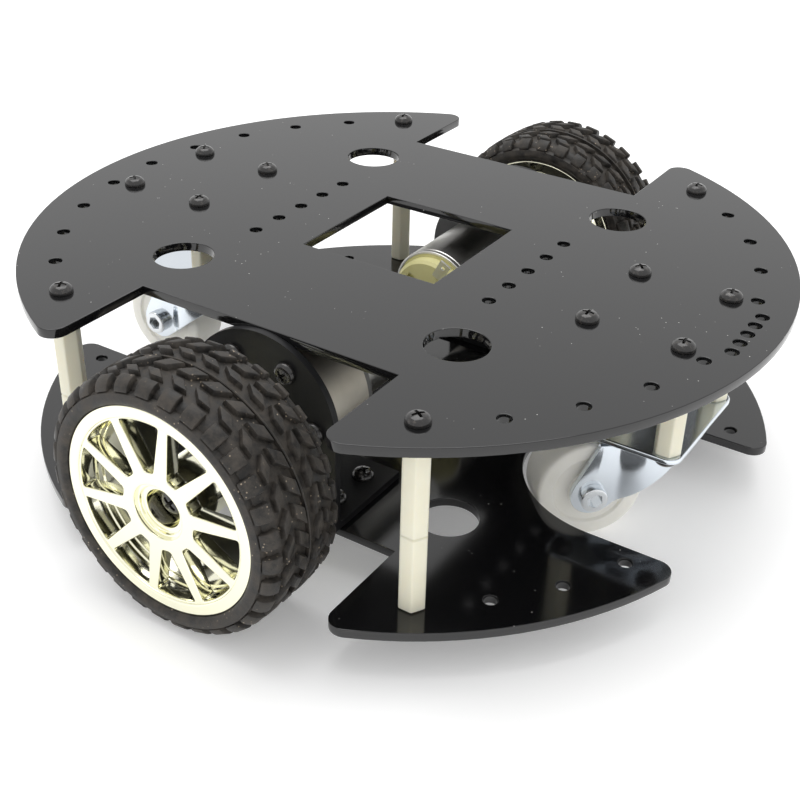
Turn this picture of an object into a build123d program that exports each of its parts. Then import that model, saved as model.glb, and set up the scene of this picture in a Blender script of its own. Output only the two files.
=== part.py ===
from build123d import *
import os
from math import acos, cos, degrees, pi, radians, sin, sqrt, tan

# Two wheel robot car: two round decks on standoffs, two geared motors with wheels, two swivel casters.
# Millimetres. The origin is on the ground under the centre of the decks. +X is forward, Y is the wheel
# axle and +Z is up.

# ---------------------------------------------------------------- driving dimensions
DECK_RADIUS = 100.6
DECK_THICKNESS = 2.4
TOP_DECK_Z = 59.5
BOTTOM_DECK_Z = 11.1
TIP_RADIUS = 4.0
WHEEL_NOTCH_HALF = 37.0
WHEEL_NOTCH_Y = 62.0
WINDOW_SIDE = 40.0
CASTER_NOTCH_HALF = 29.3

HOLE_RADIUS = 1.7
CABLE_HOLE_RADIUS = 7.75
CABLE_HOLE_X = 40.5
CABLE_HOLE_Y = 43.2
RING_RADIUS = 91.0
RING_STEP = 11.25
COLUMN_ANGLE = 56.25
ROW_X = 35.6
ROW_PITCH = 10.0
SHORT_ROW_X = 93.0
SHORT_ROW_PITCH = 5.1

STANDOFF_FLATS = 6.0
UPPER_STANDOFF = 25.5
LOWER_STANDOFF = 20.5
STUD_LENGTH = 6.0
THREAD_RADIUS = 1.5
SHANK_RADIUS = 1.45
SCREW_HEAD_RADIUS = 2.9
SCREW_HEAD_HEIGHT = 2.2
SCREW_REACH = 8.0

AXLE_Z = 33.0
MOTOR_Z = 40.0
BRACKET_FACE_Y = 64.0
BRACKET_THICKNESS = 1.9
BRACKET_RADIUS = 21.5
BRACKET_FOOT_Y = 36.0
GEARBOX_RADIUS = 18.5
GEARBOX_LENGTH = 16.4
GEARBOX_WALL = 2.0
COVER_THICKNESS = 1.5
BOSS_RADIUS = 6.0
BOSS_REACH = 6.0
MOTOR_SCREW_CIRCLE = 31.0
CAN_RADIUS = 12.2
CAN_LENGTH = 30.8
CAN_WALL = 0.8
CAN_FLOOR = 2.0
END_CAP_RADIUS = 10.6
END_CAP_LENGTH = 3.5
TERMINAL_CIRCLE = 8.4
TERMINAL_ANGLE = 62.0
LUG_SHEET = 0.6
LUG_WIDTH = 3.4
LUG_STANDOFF = 1.2
LUG_LEAF = 5.6
MAGNET_THICKNESS = 2.4
MAGNET_LENGTH = 19.0
ROTOR_LOBE = 7.0
ROTOR_LOBE_WIDTH = 6.6
ROTOR_SHAFT_RADIUS = 1.0

SHAFT_RADIUS = 3.0
SHAFT_REACH = 21.0
RUNNING_GAP = 0.08
MODULE = 0.5
PRESSURE_ANGLE = 25.0
ADDENDUM = 0.4
DEDENDUM = 0.525
BACKLASH = 0.08
PINION_TEETH = 10
IDLER_BIG_TEETH = 26
IDLER_SMALL_TEETH = 10
OUTPUT_TEETH = 30

WHEEL_FACE_Y = 101.4
TYRE_RADIUS = 33.0
TYRE_OUTER_Y = 102.6
TYRE_INNER_Y = 75.4
RIM_RADIUS = 26.4
RIM_INNER_Y = 76.4
BARREL_OUTER_RADIUS = 24.8
BARREL_RADIUS = 22.6
WEB_FACE_Y = 101.0
WEB_THICKNESS = 4.0
HUB_RADIUS = 8.2
HUB_BACK_Y = 84.5
HUB_RECESS_RADIUS = 5.3
HUB_SEAT_Y = 94.3
SPOKE_COUNT = 10
SPOKE_PHASE = 8.7
SPOKE_ROOT = 10.0
SPOKE_ROOT_HALF = 1.9
SPOKE_TIP_HALF = 1.2
HEX_FLATS = 12.0
COUPLING_INNER_Y = 71.0
COUPLING_OUTER_Y = 91.0
WHEEL_SCREW_RADIUS = 1.95

CASTER_X = 71.4
CASTER_HOLES_X = 24.0
CASTER_HOLES_Y = 30.5
CASTER_PLATE_X = 32.0
CASTER_PLATE_Y = 38.0
CASTER_PLATE_Z = 32.5
CASTER_PLATE_THICKNESS = 1.5
CASTER_TRAIL = 14.25
CASTER_WHEEL_RADIUS = 14.0
CASTER_WHEEL_WIDTH = 12.0
CROWN_RADIUS = 11.0
CROWN_Z = 28.7
CROWN_THICKNESS = 1.4
FORK_INSIDE = 13.2
FORK_SHEET = 1.4
FORK_TIP_RADIUS = 5.6
FORK_SHOULDER = 13.4
AXLE_RADIUS = 2.4
KINGPIN_RADIUS = 2.5
BALL_RADIUS = 1.15
BALL_COUNT = 10
BALL_CIRCLE = 7.6
FRONT_CASTER_HEADING = 222.0
REAR_CASTER_HEADING = 180.0

# ---------------------------------------------------------------- derived places
TOP_DECK_TOP = TOP_DECK_Z + DECK_THICKNESS
BOTTOM_DECK_TOP = BOTTOM_DECK_Z + DECK_THICKNESS
COLUMN_JOINT_Z = TOP_DECK_Z - UPPER_STANDOFF
CASTER_PLATE_TOP = CASTER_PLATE_Z + CASTER_PLATE_THICKNESS
COLUMN_X = RING_RADIUS * cos(radians(COLUMN_ANGLE))
COLUMN_Y = RING_RADIUS * sin(radians(COLUMN_ANGLE))
COLUMNS = [(sx * COLUMN_X, sy * COLUMN_Y) for sx in (-1, 1) for sy in (-1, 1)]
CASTER_SCREWS = [
    (sx * CASTER_X + dx * CASTER_HOLES_X / 2, dy * CASTER_HOLES_Y / 2)
    for sx in (-1, 1)
    for dx in (-1, 1)
    for dy in (-1, 1)
]
BRACKET_INNER_Y = BRACKET_FACE_Y - BRACKET_THICKNESS
GEARBOX_BACK_Y = BRACKET_INNER_Y - GEARBOX_LENGTH
CAN_FRONT_Y = GEARBOX_BACK_Y - COVER_THICKNESS
CAN_BACK_Y = CAN_FRONT_Y - CAN_LENGTH
END_CAP_BACK_Y = CAN_BACK_Y - END_CAP_LENGTH
FOOT_SCREWS = [(dx, y) for dx in (-15.0, 15.0) for y in (43.0, 55.0)]
OUTPUT_GEAR_Y = 53.5
OUTPUT_GEAR_WIDTH = 4.0
IDLER_BIG_Y = 47.0
IDLER_BIG_WIDTH = 4.0

os.makedirs("parts", exist_ok=True)


def save(builder, name):
    builder.part.label = name
    export_step(builder.part, f"parts/{name}.step")


# ---------------------------------------------------------------- decks
def ring_points(steps):
    """Places on the ring of holes, that many steps off the X axis, in all four quarters."""
    places = []
    for step in steps:
        angle = radians(step * RING_STEP)
        x, y = RING_RADIUS * cos(angle), RING_RADIUS * sin(angle)
        places += [(x, y), (x, -y), (-x, y), (-x, -y)]
    return places


def deck_outline():
    """A round plate with a square-cornered notch for each drive wheel."""
    Circle(DECK_RADIUS)
    notch_depth = DECK_RADIUS - WHEEL_NOTCH_Y + TIP_RADIUS
    with Locations((0, WHEEL_NOTCH_Y + notch_depth / 2), (0, -WHEEL_NOTCH_Y - notch_depth / 2)):
        Rectangle(2 * WHEEL_NOTCH_HALF, notch_depth, mode=Mode.SUBTRACT)


def outer_corners(sketch):
    """The sharp tips where a notch meets the round edge."""
    near_edge = DECK_RADIUS - 1.0
    return [v for v in sketch.vertices() if sqrt(v.X ** 2 + v.Y ** 2) > near_edge and abs(v.Y) > 1.0]


def top_deck():
    with BuildPart() as deck:
        with BuildSketch(Plane.XY.offset(TOP_DECK_Z)) as outline:
            deck_outline()
            fillet(outer_corners(outline), TIP_RADIUS)
            Rectangle(WINDOW_SIDE, WINDOW_SIDE, mode=Mode.SUBTRACT)
            with GridLocations(2 * CABLE_HOLE_X, 2 * CABLE_HOLE_Y, 2, 2):
                Circle(CABLE_HOLE_RADIUS, mode=Mode.SUBTRACT)
            with Locations(*ring_points((1, 2, 3, 4)), *COLUMNS, *CASTER_SCREWS, (-RING_RADIUS, 0)):
                Circle(HOLE_RADIUS, mode=Mode.SUBTRACT)
            with GridLocations(2 * ROW_X, ROW_PITCH, 2, 5):
                Circle(HOLE_RADIUS, mode=Mode.SUBTRACT)
            with Locations((SHORT_ROW_X, 0)):
                with GridLocations(1, SHORT_ROW_PITCH, 1, 5):
                    Circle(HOLE_RADIUS, mode=Mode.SUBTRACT)
        extrude(amount=DECK_THICKNESS)
    save(deck, "top_deck")


def bottom_deck():
    with BuildPart() as deck:
        with BuildSketch(Plane.XY.offset(BOTTOM_DECK_Z)) as outline:
            deck_outline()
            for side in (-1, 1):
                with Locations((side * CASTER_X, 0)):
                    Circle(CASTER_NOTCH_HALF, mode=Mode.SUBTRACT)
                with Locations((side * (CASTER_X + DECK_RADIUS / 2), 0)):
                    Rectangle(DECK_RADIUS, 2 * CASTER_NOTCH_HALF, mode=Mode.SUBTRACT)
            fillet(outer_corners(outline), TIP_RADIUS)
            with GridLocations(2 * CABLE_HOLE_X, 2 * CABLE_HOLE_Y, 2, 2):
                Circle(CABLE_HOLE_RADIUS, mode=Mode.SUBTRACT)
            with Locations(*ring_points((2, 3, 4)), *COLUMNS):
                Circle(HOLE_RADIUS, mode=Mode.SUBTRACT)
            with Locations(*[(x, side * y) for x, y in FOOT_SCREWS for side in (-1, 1)]):
                Circle(HOLE_RADIUS, mode=Mode.SUBTRACT)
        extrude(amount=DECK_THICKNESS)
    save(deck, "bottom_deck")


# ---------------------------------------------------------------- standoffs and screws
def hex_radius(flats):
    return flats / 2 / cos(pi / 6)


def standoffs(name, places, bottom, length, stud):
    """Hexagonal nylon spacers, threaded right through, or with a stud at the bottom end."""
    with BuildPart() as spacer:
        with BuildSketch(Plane.XY.offset(bottom)):
            with Locations(*places):
                RegularPolygon(hex_radius(STANDOFF_FLATS), 6)
        extrude(amount=length)
        with BuildSketch(Plane.XY.offset(bottom + (length / 2 if stud else 0))):
            with Locations(*places):
                Circle(THREAD_RADIUS)
        extrude(amount=length / 2 if stud else length, mode=Mode.SUBTRACT)
        if stud:
            with BuildSketch(Plane.XY.offset(bottom - STUD_LENGTH)):
                with Locations(*places):
                    Circle(SHANK_RADIUS)
            extrude(amount=STUD_LENGTH)
    save(spacer, name)


def pan_screws(name, plane, places, reach):
    """Cross-recessed screws. The plane is where the heads seat, and its normal points out of the heads."""
    with BuildPart() as screw:
        with BuildSketch(plane):
            with Locations(*places):
                Circle(SCREW_HEAD_RADIUS)
        extrude(amount=SCREW_HEAD_HEIGHT)
        rims = screw.faces().filter_by(lambda face: face.normal_at().dot(plane.z_dir) > 0.9).edges()
        fillet(rims, SCREW_HEAD_HEIGHT * 0.45)
        with BuildSketch(plane.offset(SCREW_HEAD_HEIGHT * 0.35)):
            with Locations(*places):
                Rectangle(SCREW_HEAD_RADIUS * 1.1, 0.7)
                Rectangle(0.7, SCREW_HEAD_RADIUS * 1.1)
        extrude(amount=SCREW_HEAD_HEIGHT, mode=Mode.SUBTRACT)
        with BuildSketch(plane):
            with Locations(*places):
                Circle(SHANK_RADIUS)
        extrude(amount=-reach)
    save(screw, name)


def deck_fasteners():
    up = Plane.XY.offset(TOP_DECK_TOP)
    down = Plane.XY.offset(BOTTOM_DECK_Z).rotated((180, 0, 0))
    pan_screws("column_top_screws", up, COLUMNS, SCREW_REACH)
    pan_screws("column_bottom_screws", down, COLUMNS, SCREW_REACH)
    pan_screws("caster_top_screws", up, CASTER_SCREWS, SCREW_REACH)
    under = Plane.XY.offset(CASTER_PLATE_Z).rotated((180, 0, 0))
    pan_screws("caster_bottom_screws", under, CASTER_SCREWS, SCREW_REACH)
    standoffs("upper_standoffs", COLUMNS, COLUMN_JOINT_Z, UPPER_STANDOFF, True)
    standoffs("lower_standoffs", COLUMNS, BOTTOM_DECK_TOP, LOWER_STANDOFF, False)
    standoffs("caster_standoffs", CASTER_SCREWS, CASTER_PLATE_TOP, TOP_DECK_Z - CASTER_PLATE_TOP, False)


def cross_plane(side, x, y, z):
    """A plane across the axle at distance y from the middle, facing out, with its own Y axis up."""
    return Plane(origin=(x, side * y, z), x_dir=(-side, 0, 0), z_dir=(0, side, 0))


def motor_plane(side, y):
    return cross_plane(side, 0, y, MOTOR_Z)


def axle_plane(side, y):
    return cross_plane(side, 0, y, AXLE_Z)


def motor_fasteners():
    foot_top = BOTTOM_DECK_TOP + BRACKET_THICKNESS
    places = [(x, side * y) for x, y in FOOT_SCREWS for side in (-1, 1)]
    pan_screws("bracket_screws", Plane.XY.offset(foot_top), places, SCREW_REACH)
    with BuildPart() as nuts:
        with BuildSketch(Plane.XY.offset(BOTTOM_DECK_Z)):
            with Locations(*places):
                RegularPolygon(hex_radius(5.5), 6)
                Circle(THREAD_RADIUS, mode=Mode.SUBTRACT)
        extrude(amount=-2.4)
    save(nuts, "bracket_nuts")


def motor_screws(side, name):
    """The six screws that hold one gearbox to its bracket."""
    circle = MOTOR_SCREW_CIRCLE / 2
    places = [(circle * cos(radians(60 * i)), circle * sin(radians(60 * i))) for i in range(6)]
    pan_screws(f"motor_screws_{name}", motor_plane(side, BRACKET_FACE_Y), places, BRACKET_THICKNESS + 1.8)


# ---------------------------------------------------------------- motor bracket
def motor_bracket(side, name):
    """An angle bracket: a round-topped face that holds the gearbox, and a foot on the lower deck."""
    face = motor_plane(side, BRACKET_INNER_Y)
    drop = MOTOR_Z - BOTTOM_DECK_TOP
    with BuildPart() as bracket:
        with BuildSketch(face) as outline:
            Circle(BRACKET_RADIUS)
            with Locations((0, -drop / 2)):
                Rectangle(2 * BRACKET_RADIUS, drop)
            with Locations((0, AXLE_Z - MOTOR_Z)):
                Circle(BOSS_RADIUS + 0.3, mode=Mode.SUBTRACT)
            with PolarLocations(MOTOR_SCREW_CIRCLE / 2, 6):
                Circle(HOLE_RADIUS, mode=Mode.SUBTRACT)
        extrude(amount=BRACKET_THICKNESS)
        with BuildSketch(Plane.XY.offset(BOTTOM_DECK_TOP)) as foot:
            depth = BRACKET_INNER_Y - BRACKET_FOOT_Y
            with Locations((0, side * (BRACKET_INNER_Y - depth / 2))):
                Rectangle(2 * BRACKET_RADIUS, depth)
            with Locations(*[(x, side * y) for x, y in FOOT_SCREWS]):
                Circle(HOLE_RADIUS, mode=Mode.SUBTRACT)
        extrude(amount=BRACKET_THICKNESS)
        inner_bend = bracket.edges().filter_by(Axis.X).filter_by(
            lambda e: abs(abs(e.center().Y) - BRACKET_INNER_Y) < 0.01 and e.center().Z < MOTOR_Z
        ).sort_by(Axis.Z)[-1]
        fillet(inner_bend, 1.0)
    save(bracket, f"motor_bracket_{name}")


# ---------------------------------------------------------------- gears
def involute(angle):
    return tan(angle) - angle


def gear_points(teeth, phase, side):
    """A gear outline with a tooth centred at the phase angle, flanks on the involute of the base circle.

    Both gearboxes have their idler on +X, so the outline is mirrored on the side whose planes look along +Y.
    """
    pitch = MODULE * teeth / 2
    base = pitch * cos(radians(PRESSURE_ANGLE))
    tip, root = pitch + ADDENDUM, pitch - DEDENDUM
    half_tooth = (pi * MODULE / 2 - BACKLASH) / 2 / pitch
    reference = involute(radians(PRESSURE_ANGLE))
    start = max(base, root)
    radii = [start + (tip - start) * i / 4 for i in range(5)]
    flank = [(r, half_tooth + reference - involute(acos(min(1.0, base / r)))) for r in radii]
    if root < start:
        flank.insert(0, (root, flank[0][1]))
    points = []
    for tooth in range(teeth):
        middle = radians(phase) + 2 * pi * tooth / teeth
        around = [(r, middle - a) for r, a in flank] + [(r, middle + a) for r, a in reversed(flank)]
        points += [(-side * r * cos(a), r * sin(a)) for r, a in around]
    return points


def extrude_gear(plane, teeth, phase, side, width):
    with BuildSketch(plane) as outline:
        with BuildLine():
            Polyline(*gear_points(teeth, phase, side), close=True)
        make_face()
    extrude(outline.sketch, amount=width)


def pitch_radius(teeth):
    return MODULE * teeth / 2


def idler_centre():
    """The idler's axis, found from its distances to the motor axis and to the output axis."""
    drop = MOTOR_Z - AXLE_Z
    to_motor = pitch_radius(PINION_TEETH + IDLER_BIG_TEETH)
    to_output = pitch_radius(IDLER_SMALL_TEETH + OUTPUT_TEETH)
    height = (to_output ** 2 - to_motor ** 2 + drop ** 2) / (2 * drop)
    return sqrt(to_output ** 2 - height ** 2), height


IDLER_X, IDLER_UP = idler_centre()
OUTPUT_TO_IDLER = degrees(acos(IDLER_X / sqrt(IDLER_X ** 2 + IDLER_UP ** 2)))
IDLER_TO_MOTOR = 180 - degrees(acos(IDLER_X / pitch_radius(PINION_TEETH + IDLER_BIG_TEETH)))


# ---------------------------------------------------------------- motor and gearbox
def gearbox_housing(side, name):
    """The cast front half: a cup with the output boss, which the shaft turns in."""
    with BuildPart() as housing:
        with BuildSketch(motor_plane(side, GEARBOX_BACK_Y)):
            Circle(GEARBOX_RADIUS)
        extrude(amount=GEARBOX_LENGTH)
        with BuildSketch(motor_plane(side, GEARBOX_BACK_Y)):
            Circle(GEARBOX_RADIUS - GEARBOX_WALL)
        extrude(amount=GEARBOX_LENGTH - 2 * GEARBOX_WALL, mode=Mode.SUBTRACT)
        with BuildSketch(axle_plane(side, BRACKET_INNER_Y)):
            Circle(BOSS_RADIUS)
        extrude(amount=BOSS_REACH)
        with BuildSketch(axle_plane(side, BRACKET_INNER_Y - 2 * GEARBOX_WALL)):
            Circle(SHAFT_RADIUS + RUNNING_GAP)
        extrude(amount=BOSS_REACH + 2 * GEARBOX_WALL, mode=Mode.SUBTRACT)
        with BuildSketch(motor_plane(side, BRACKET_INNER_Y)):
            with PolarLocations(MOTOR_SCREW_CIRCLE / 2, 6):
                Circle(THREAD_RADIUS)
        extrude(amount=-2.2, mode=Mode.SUBTRACT)
        with BuildSketch(cross_plane(side, IDLER_X, BRACKET_INNER_Y - 2 * GEARBOX_WALL, AXLE_Z + IDLER_UP)):
            Circle(1.0)
        extrude(amount=1.5, mode=Mode.SUBTRACT)
    save(housing, f"gearbox_housing_{name}")


def gearbox_cover(side, name):
    """The plate between the gears and the motor can."""
    with BuildPart() as cover:
        with BuildSketch(motor_plane(side, CAN_FRONT_Y)):
            Circle(GEARBOX_RADIUS)
            Circle(2.2, mode=Mode.SUBTRACT)
        extrude(amount=COVER_THICKNESS)
        with BuildSketch(cross_plane(side, IDLER_X, GEARBOX_BACK_Y, AXLE_Z + IDLER_UP)):
            Circle(1.0)
        extrude(amount=-1.2, mode=Mode.SUBTRACT)
    save(cover, f"gearbox_cover_{name}")


def idler_pin(side, name):
    start = GEARBOX_BACK_Y - 1.2
    end = BRACKET_INNER_Y - 2 * GEARBOX_WALL + 1.4
    with BuildPart() as pin:
        with BuildSketch(cross_plane(side, IDLER_X, start, AXLE_Z + IDLER_UP)):
            Circle(0.95)
        extrude(amount=end - start)
    save(pin, f"idler_pin_{name}")


def output_shaft(side, name):
    """The output gear on its flatted shaft."""
    gear = axle_plane(side, OUTPUT_GEAR_Y)
    tip_y = BRACKET_INNER_Y + SHAFT_REACH
    flat_length = SHAFT_REACH - BOSS_REACH - 1.0
    with BuildPart() as shaft:
        extrude_gear(gear, OUTPUT_TEETH, OUTPUT_TO_IDLER, side, OUTPUT_GEAR_WIDTH - 0.5)
        with BuildSketch(gear):
            Circle(SHAFT_RADIUS)
        extrude(amount=tip_y - OUTPUT_GEAR_Y)
        with BuildSketch(axle_plane(side, tip_y - flat_length)):
            with Locations((0, SHAFT_RADIUS)):
                Rectangle(2 * SHAFT_RADIUS, 1.0)
        extrude(amount=flat_length, mode=Mode.SUBTRACT)
    save(shaft, f"output_shaft_{name}")


def idler_gear(side, name):
    """A wheel and a pinion in one piece, turning on a fixed pin."""
    height = AXLE_Z + IDLER_UP
    with BuildPart() as idler:
        big = cross_plane(side, IDLER_X, IDLER_BIG_Y, height)
        extrude_gear(big, IDLER_BIG_TEETH, IDLER_TO_MOTOR, side, IDLER_BIG_WIDTH)
        small = cross_plane(side, IDLER_X, IDLER_BIG_Y + IDLER_BIG_WIDTH, height)
        gap_phase = OUTPUT_TO_IDLER + 180 + 180 / IDLER_SMALL_TEETH
        small_width = OUTPUT_GEAR_Y + OUTPUT_GEAR_WIDTH - 0.5 - IDLER_BIG_Y - IDLER_BIG_WIDTH
        extrude_gear(small, IDLER_SMALL_TEETH, gap_phase, side, small_width)
        with BuildSketch(big):
            Circle(0.95 + RUNNING_GAP)
        extrude(amount=IDLER_BIG_WIDTH + small_width, mode=Mode.SUBTRACT)
    save(idler, f"idler_gear_{name}")


def rotor(side, name):
    """The motor's turning part: shaft with pinion, three-lobed core and commutator."""
    pinion_end = IDLER_BIG_Y + IDLER_BIG_WIDTH
    pinion_start = GEARBOX_BACK_Y + 0.5
    gap_phase = IDLER_TO_MOTOR + 180 + 180 / PINION_TEETH
    core_start = CAN_BACK_Y + 7.0
    core_length = 14.0
    with BuildPart() as turning:
        with BuildSketch(motor_plane(side, END_CAP_BACK_Y + 2.3)):
            Circle(ROTOR_SHAFT_RADIUS)
        extrude(amount=pinion_start - END_CAP_BACK_Y - 2.3)
        pinion = motor_plane(side, pinion_start)
        extrude_gear(pinion, PINION_TEETH, gap_phase, side, pinion_end - pinion_start)
        with BuildSketch(motor_plane(side, core_start)):
            Circle(3.4)
            with PolarLocations(ROTOR_LOBE / 2, 3):
                Rectangle(ROTOR_LOBE, 2.6)
            with PolarLocations(ROTOR_LOBE, 3):
                Rectangle(1.6, ROTOR_LOBE_WIDTH)
        extrude(amount=core_length)
        with BuildSketch(motor_plane(side, core_start - 5.0)):
            Circle(3.0)
        extrude(amount=5.0)
    save(turning, f"rotor_{name}")


def motor_can(side, name):
    """The drawn steel can, open at the back, with a bush for the shaft in its front wall."""
    with BuildPart() as can:
        with BuildSketch(motor_plane(side, CAN_BACK_Y)):
            Circle(CAN_RADIUS)
        extrude(amount=CAN_LENGTH)
        with BuildSketch(motor_plane(side, CAN_BACK_Y)):
            Circle(CAN_RADIUS - CAN_WALL)
        extrude(amount=CAN_LENGTH - CAN_FLOOR, mode=Mode.SUBTRACT)
        with BuildSketch(motor_plane(side, CAN_BACK_Y)):
            Circle(ROTOR_SHAFT_RADIUS + RUNNING_GAP)
        extrude(amount=CAN_LENGTH, mode=Mode.SUBTRACT)
    save(can, f"motor_can_{name}")


def motor_magnets(side, name):
    """Two curved magnets against the can's wall."""
    outer = CAN_RADIUS - CAN_WALL - 0.02
    with BuildPart() as magnets:
        with BuildSketch(motor_plane(side, CAN_BACK_Y + 4.0)):
            Circle(outer)
            Circle(outer - MAGNET_THICKNESS, mode=Mode.SUBTRACT)
            Rectangle(8.0, 2 * CAN_RADIUS, mode=Mode.SUBTRACT)
        extrude(amount=MAGNET_LENGTH)
    save(magnets, f"motor_magnets_{name}")


def terminal_angle(side):
    """The first terminal's angle in a motor plane, whose X axis points backwards on the left side."""
    return 90 + side * (90 - TERMINAL_ANGLE)


def motor_end_cap(side, name):
    """The plastic rear cap, with a spigot in the can, the rear bush and two vents."""
    with BuildPart() as cap:
        with BuildSketch(motor_plane(side, END_CAP_BACK_Y)):
            Circle(END_CAP_RADIUS)
        extrude(amount=END_CAP_LENGTH)
        back_rim = cap.edges().sort_by(lambda e: abs(e.center().Y))[0]
        chamfer(back_rim, 0.8)
        with BuildSketch(motor_plane(side, CAN_BACK_Y)):
            Circle(CAN_RADIUS - CAN_WALL - 0.05)
        extrude(amount=2.0)
        with BuildSketch(motor_plane(side, END_CAP_BACK_Y + 2.0)):
            Circle(ROTOR_SHAFT_RADIUS + RUNNING_GAP)
        extrude(amount=END_CAP_LENGTH, mode=Mode.SUBTRACT)
        with BuildSketch(motor_plane(side, END_CAP_BACK_Y + 4.0)):
            Circle(4.0)
        extrude(amount=END_CAP_LENGTH, mode=Mode.SUBTRACT)
        with BuildSketch(motor_plane(side, END_CAP_BACK_Y)):
            with PolarLocations(TERMINAL_CIRCLE, 2, start_angle=terminal_angle(side)):
                Rectangle(LUG_SHEET + 0.02, LUG_WIDTH + 0.02)
            with PolarLocations(6.8, 2, start_angle=terminal_angle(side) + 90):
                Rectangle(2.4, 5.0)
        extrude(amount=2.0, mode=Mode.SUBTRACT)
    save(cap, f"motor_end_cap_{name}")


def motor_terminals(side, name):
    """Two tinned lugs: each goes through the cap, and its leaf is bent outwards, with an eye for the wire."""
    with BuildPart() as lugs:
        with BuildSketch(motor_plane(side, END_CAP_BACK_Y - LUG_STANDOFF)):
            with PolarLocations(TERMINAL_CIRCLE, 2, start_angle=terminal_angle(side)):
                Rectangle(LUG_SHEET, LUG_WIDTH)
        extrude(amount=LUG_STANDOFF + 2.0)
        with BuildSketch(motor_plane(side, END_CAP_BACK_Y - LUG_STANDOFF)):
            with PolarLocations(TERMINAL_CIRCLE + (LUG_LEAF - LUG_SHEET) / 2, 2, start_angle=terminal_angle(side)):
                Rectangle(LUG_LEAF, LUG_WIDTH)
            with PolarLocations(TERMINAL_CIRCLE + LUG_LEAF - 1.9, 2, start_angle=terminal_angle(side)):
                Circle(0.6, mode=Mode.SUBTRACT)
        extrude(amount=LUG_SHEET)
    save(lugs, f"motor_terminals_{name}")


# ---------------------------------------------------------------- drive wheel
def hex_coupling(side, name):
    """The brass hexagon: bored for the motor shaft inside, tapped for the wheel screw outside."""
    shaft_hole = 13.0
    with BuildPart() as coupling:
        with BuildSketch(axle_plane(side, COUPLING_INNER_Y)):
            RegularPolygon(hex_radius(HEX_FLATS), 6)
        extrude(amount=COUPLING_OUTER_Y - COUPLING_INNER_Y)
        with BuildSketch(axle_plane(side, COUPLING_INNER_Y)):
            Circle(SHAFT_RADIUS + 0.02)
        extrude(amount=shaft_hole, mode=Mode.SUBTRACT)
        with BuildSketch(axle_plane(side, COUPLING_INNER_Y)):
            Circle(WHEEL_SCREW_RADIUS + 0.05)
        extrude(amount=COUPLING_OUTER_Y - COUPLING_INNER_Y, mode=Mode.SUBTRACT)
        with BuildSketch(Plane(origin=(0, side * (COUPLING_INNER_Y + 4.0), AXLE_Z), z_dir=(0, 0, 1))):
            Circle(THREAD_RADIUS)
        extrude(amount=HEX_FLATS, mode=Mode.SUBTRACT)
    save(coupling, f"hex_coupling_{name}")


def coupling_set_screw(side, name):
    """The grub screw that grips the flat of the motor shaft."""
    seat = AXLE_Z + SHAFT_RADIUS - 0.5
    with BuildPart() as grub:
        with BuildSketch(Plane(origin=(0, side * (COUPLING_INNER_Y + 4.0), seat), z_dir=(0, 0, 1))):
            Circle(SHANK_RADIUS)
        extrude(amount=3.2)
        with BuildSketch(Plane(origin=(0, side * (COUPLING_INNER_Y + 4.0), seat + 1.8), z_dir=(0, 0, 1))):
            RegularPolygon(0.85, 6)
        extrude(amount=2.0, mode=Mode.SUBTRACT)
    save(grub, f"coupling_set_screw_{name}")


def wheel_screw(side, name):
    """The screw that holds the wheel on the coupling, its head in the hub's recess."""
    head = axle_plane(side, HUB_SEAT_Y)
    with BuildPart() as screw:
        with BuildSketch(head):
            Circle(3.7)
        extrude(amount=3.0)
        outer_rim = screw.edges().sort_by(lambda e: abs(e.center().Y))[-1]
        fillet(outer_rim, 1.4)
        with BuildSketch(axle_plane(side, HUB_SEAT_Y + 1.2)):
            Rectangle(4.2, 0.9)
            Rectangle(0.9, 4.2)
        extrude(amount=3.0, mode=Mode.SUBTRACT)
        with BuildSketch(head):
            Circle(WHEEL_SCREW_RADIUS)
        extrude(amount=-9.0)
    save(screw, f"wheel_screw_{name}")


def spoke_window():
    """Corners of the gap between two spokes, with the gap's middle on the X axis."""
    half_pitch = radians(180 / SPOKE_COUNT)
    corners = []
    for radius, half in ((SPOKE_ROOT, SPOKE_ROOT_HALF), (RIM_RADIUS, SPOKE_TIP_HALF)):
        x = radius * cos(half_pitch) + half * sin(half_pitch)
        y = radius * sin(half_pitch) - half * cos(half_pitch)
        corners.append((x, y))
    (root_x, root_y), (tip_x, tip_y) = corners
    return [(root_x, -root_y), (root_x, root_y), (tip_x, tip_y), (tip_x, -tip_y)]


def rim_profile(side):
    """Half section of the barrel: seats for both tyre beads outside, a lip and small steps inside."""
    face = WHEEL_FACE_Y
    points = [
        (RIM_INNER_Y, BARREL_RADIUS),
        (RIM_INNER_Y, RIM_RADIUS - 0.6),
        (RIM_INNER_Y + 1.6, RIM_RADIUS - 0.6),
        (RIM_INNER_Y + 2.6, BARREL_OUTER_RADIUS),
        (face - 2.6, BARREL_OUTER_RADIUS),
        (face - 1.6, RIM_RADIUS),
        (face - 0.3, RIM_RADIUS),
        (face, RIM_RADIUS - 0.3),
        (face, BARREL_RADIUS + 1.0),
        (face - 0.3, BARREL_RADIUS + 0.7),
        (face - 1.3, BARREL_RADIUS + 0.7),
        (face - 1.7, BARREL_RADIUS + 1.1),
        (face - 3.6, BARREL_RADIUS + 1.1),
        (face - 3.9, BARREL_RADIUS + 0.7),
        (face - 5.2, BARREL_RADIUS + 0.7),
        (face - 5.5, BARREL_RADIUS + 0.35),
        (face - 6.8, BARREL_RADIUS + 0.35),
        (face - 7.1, BARREL_RADIUS),
    ]
    return [(side * y, AXLE_Z + radius) for y, radius in points]


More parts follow.
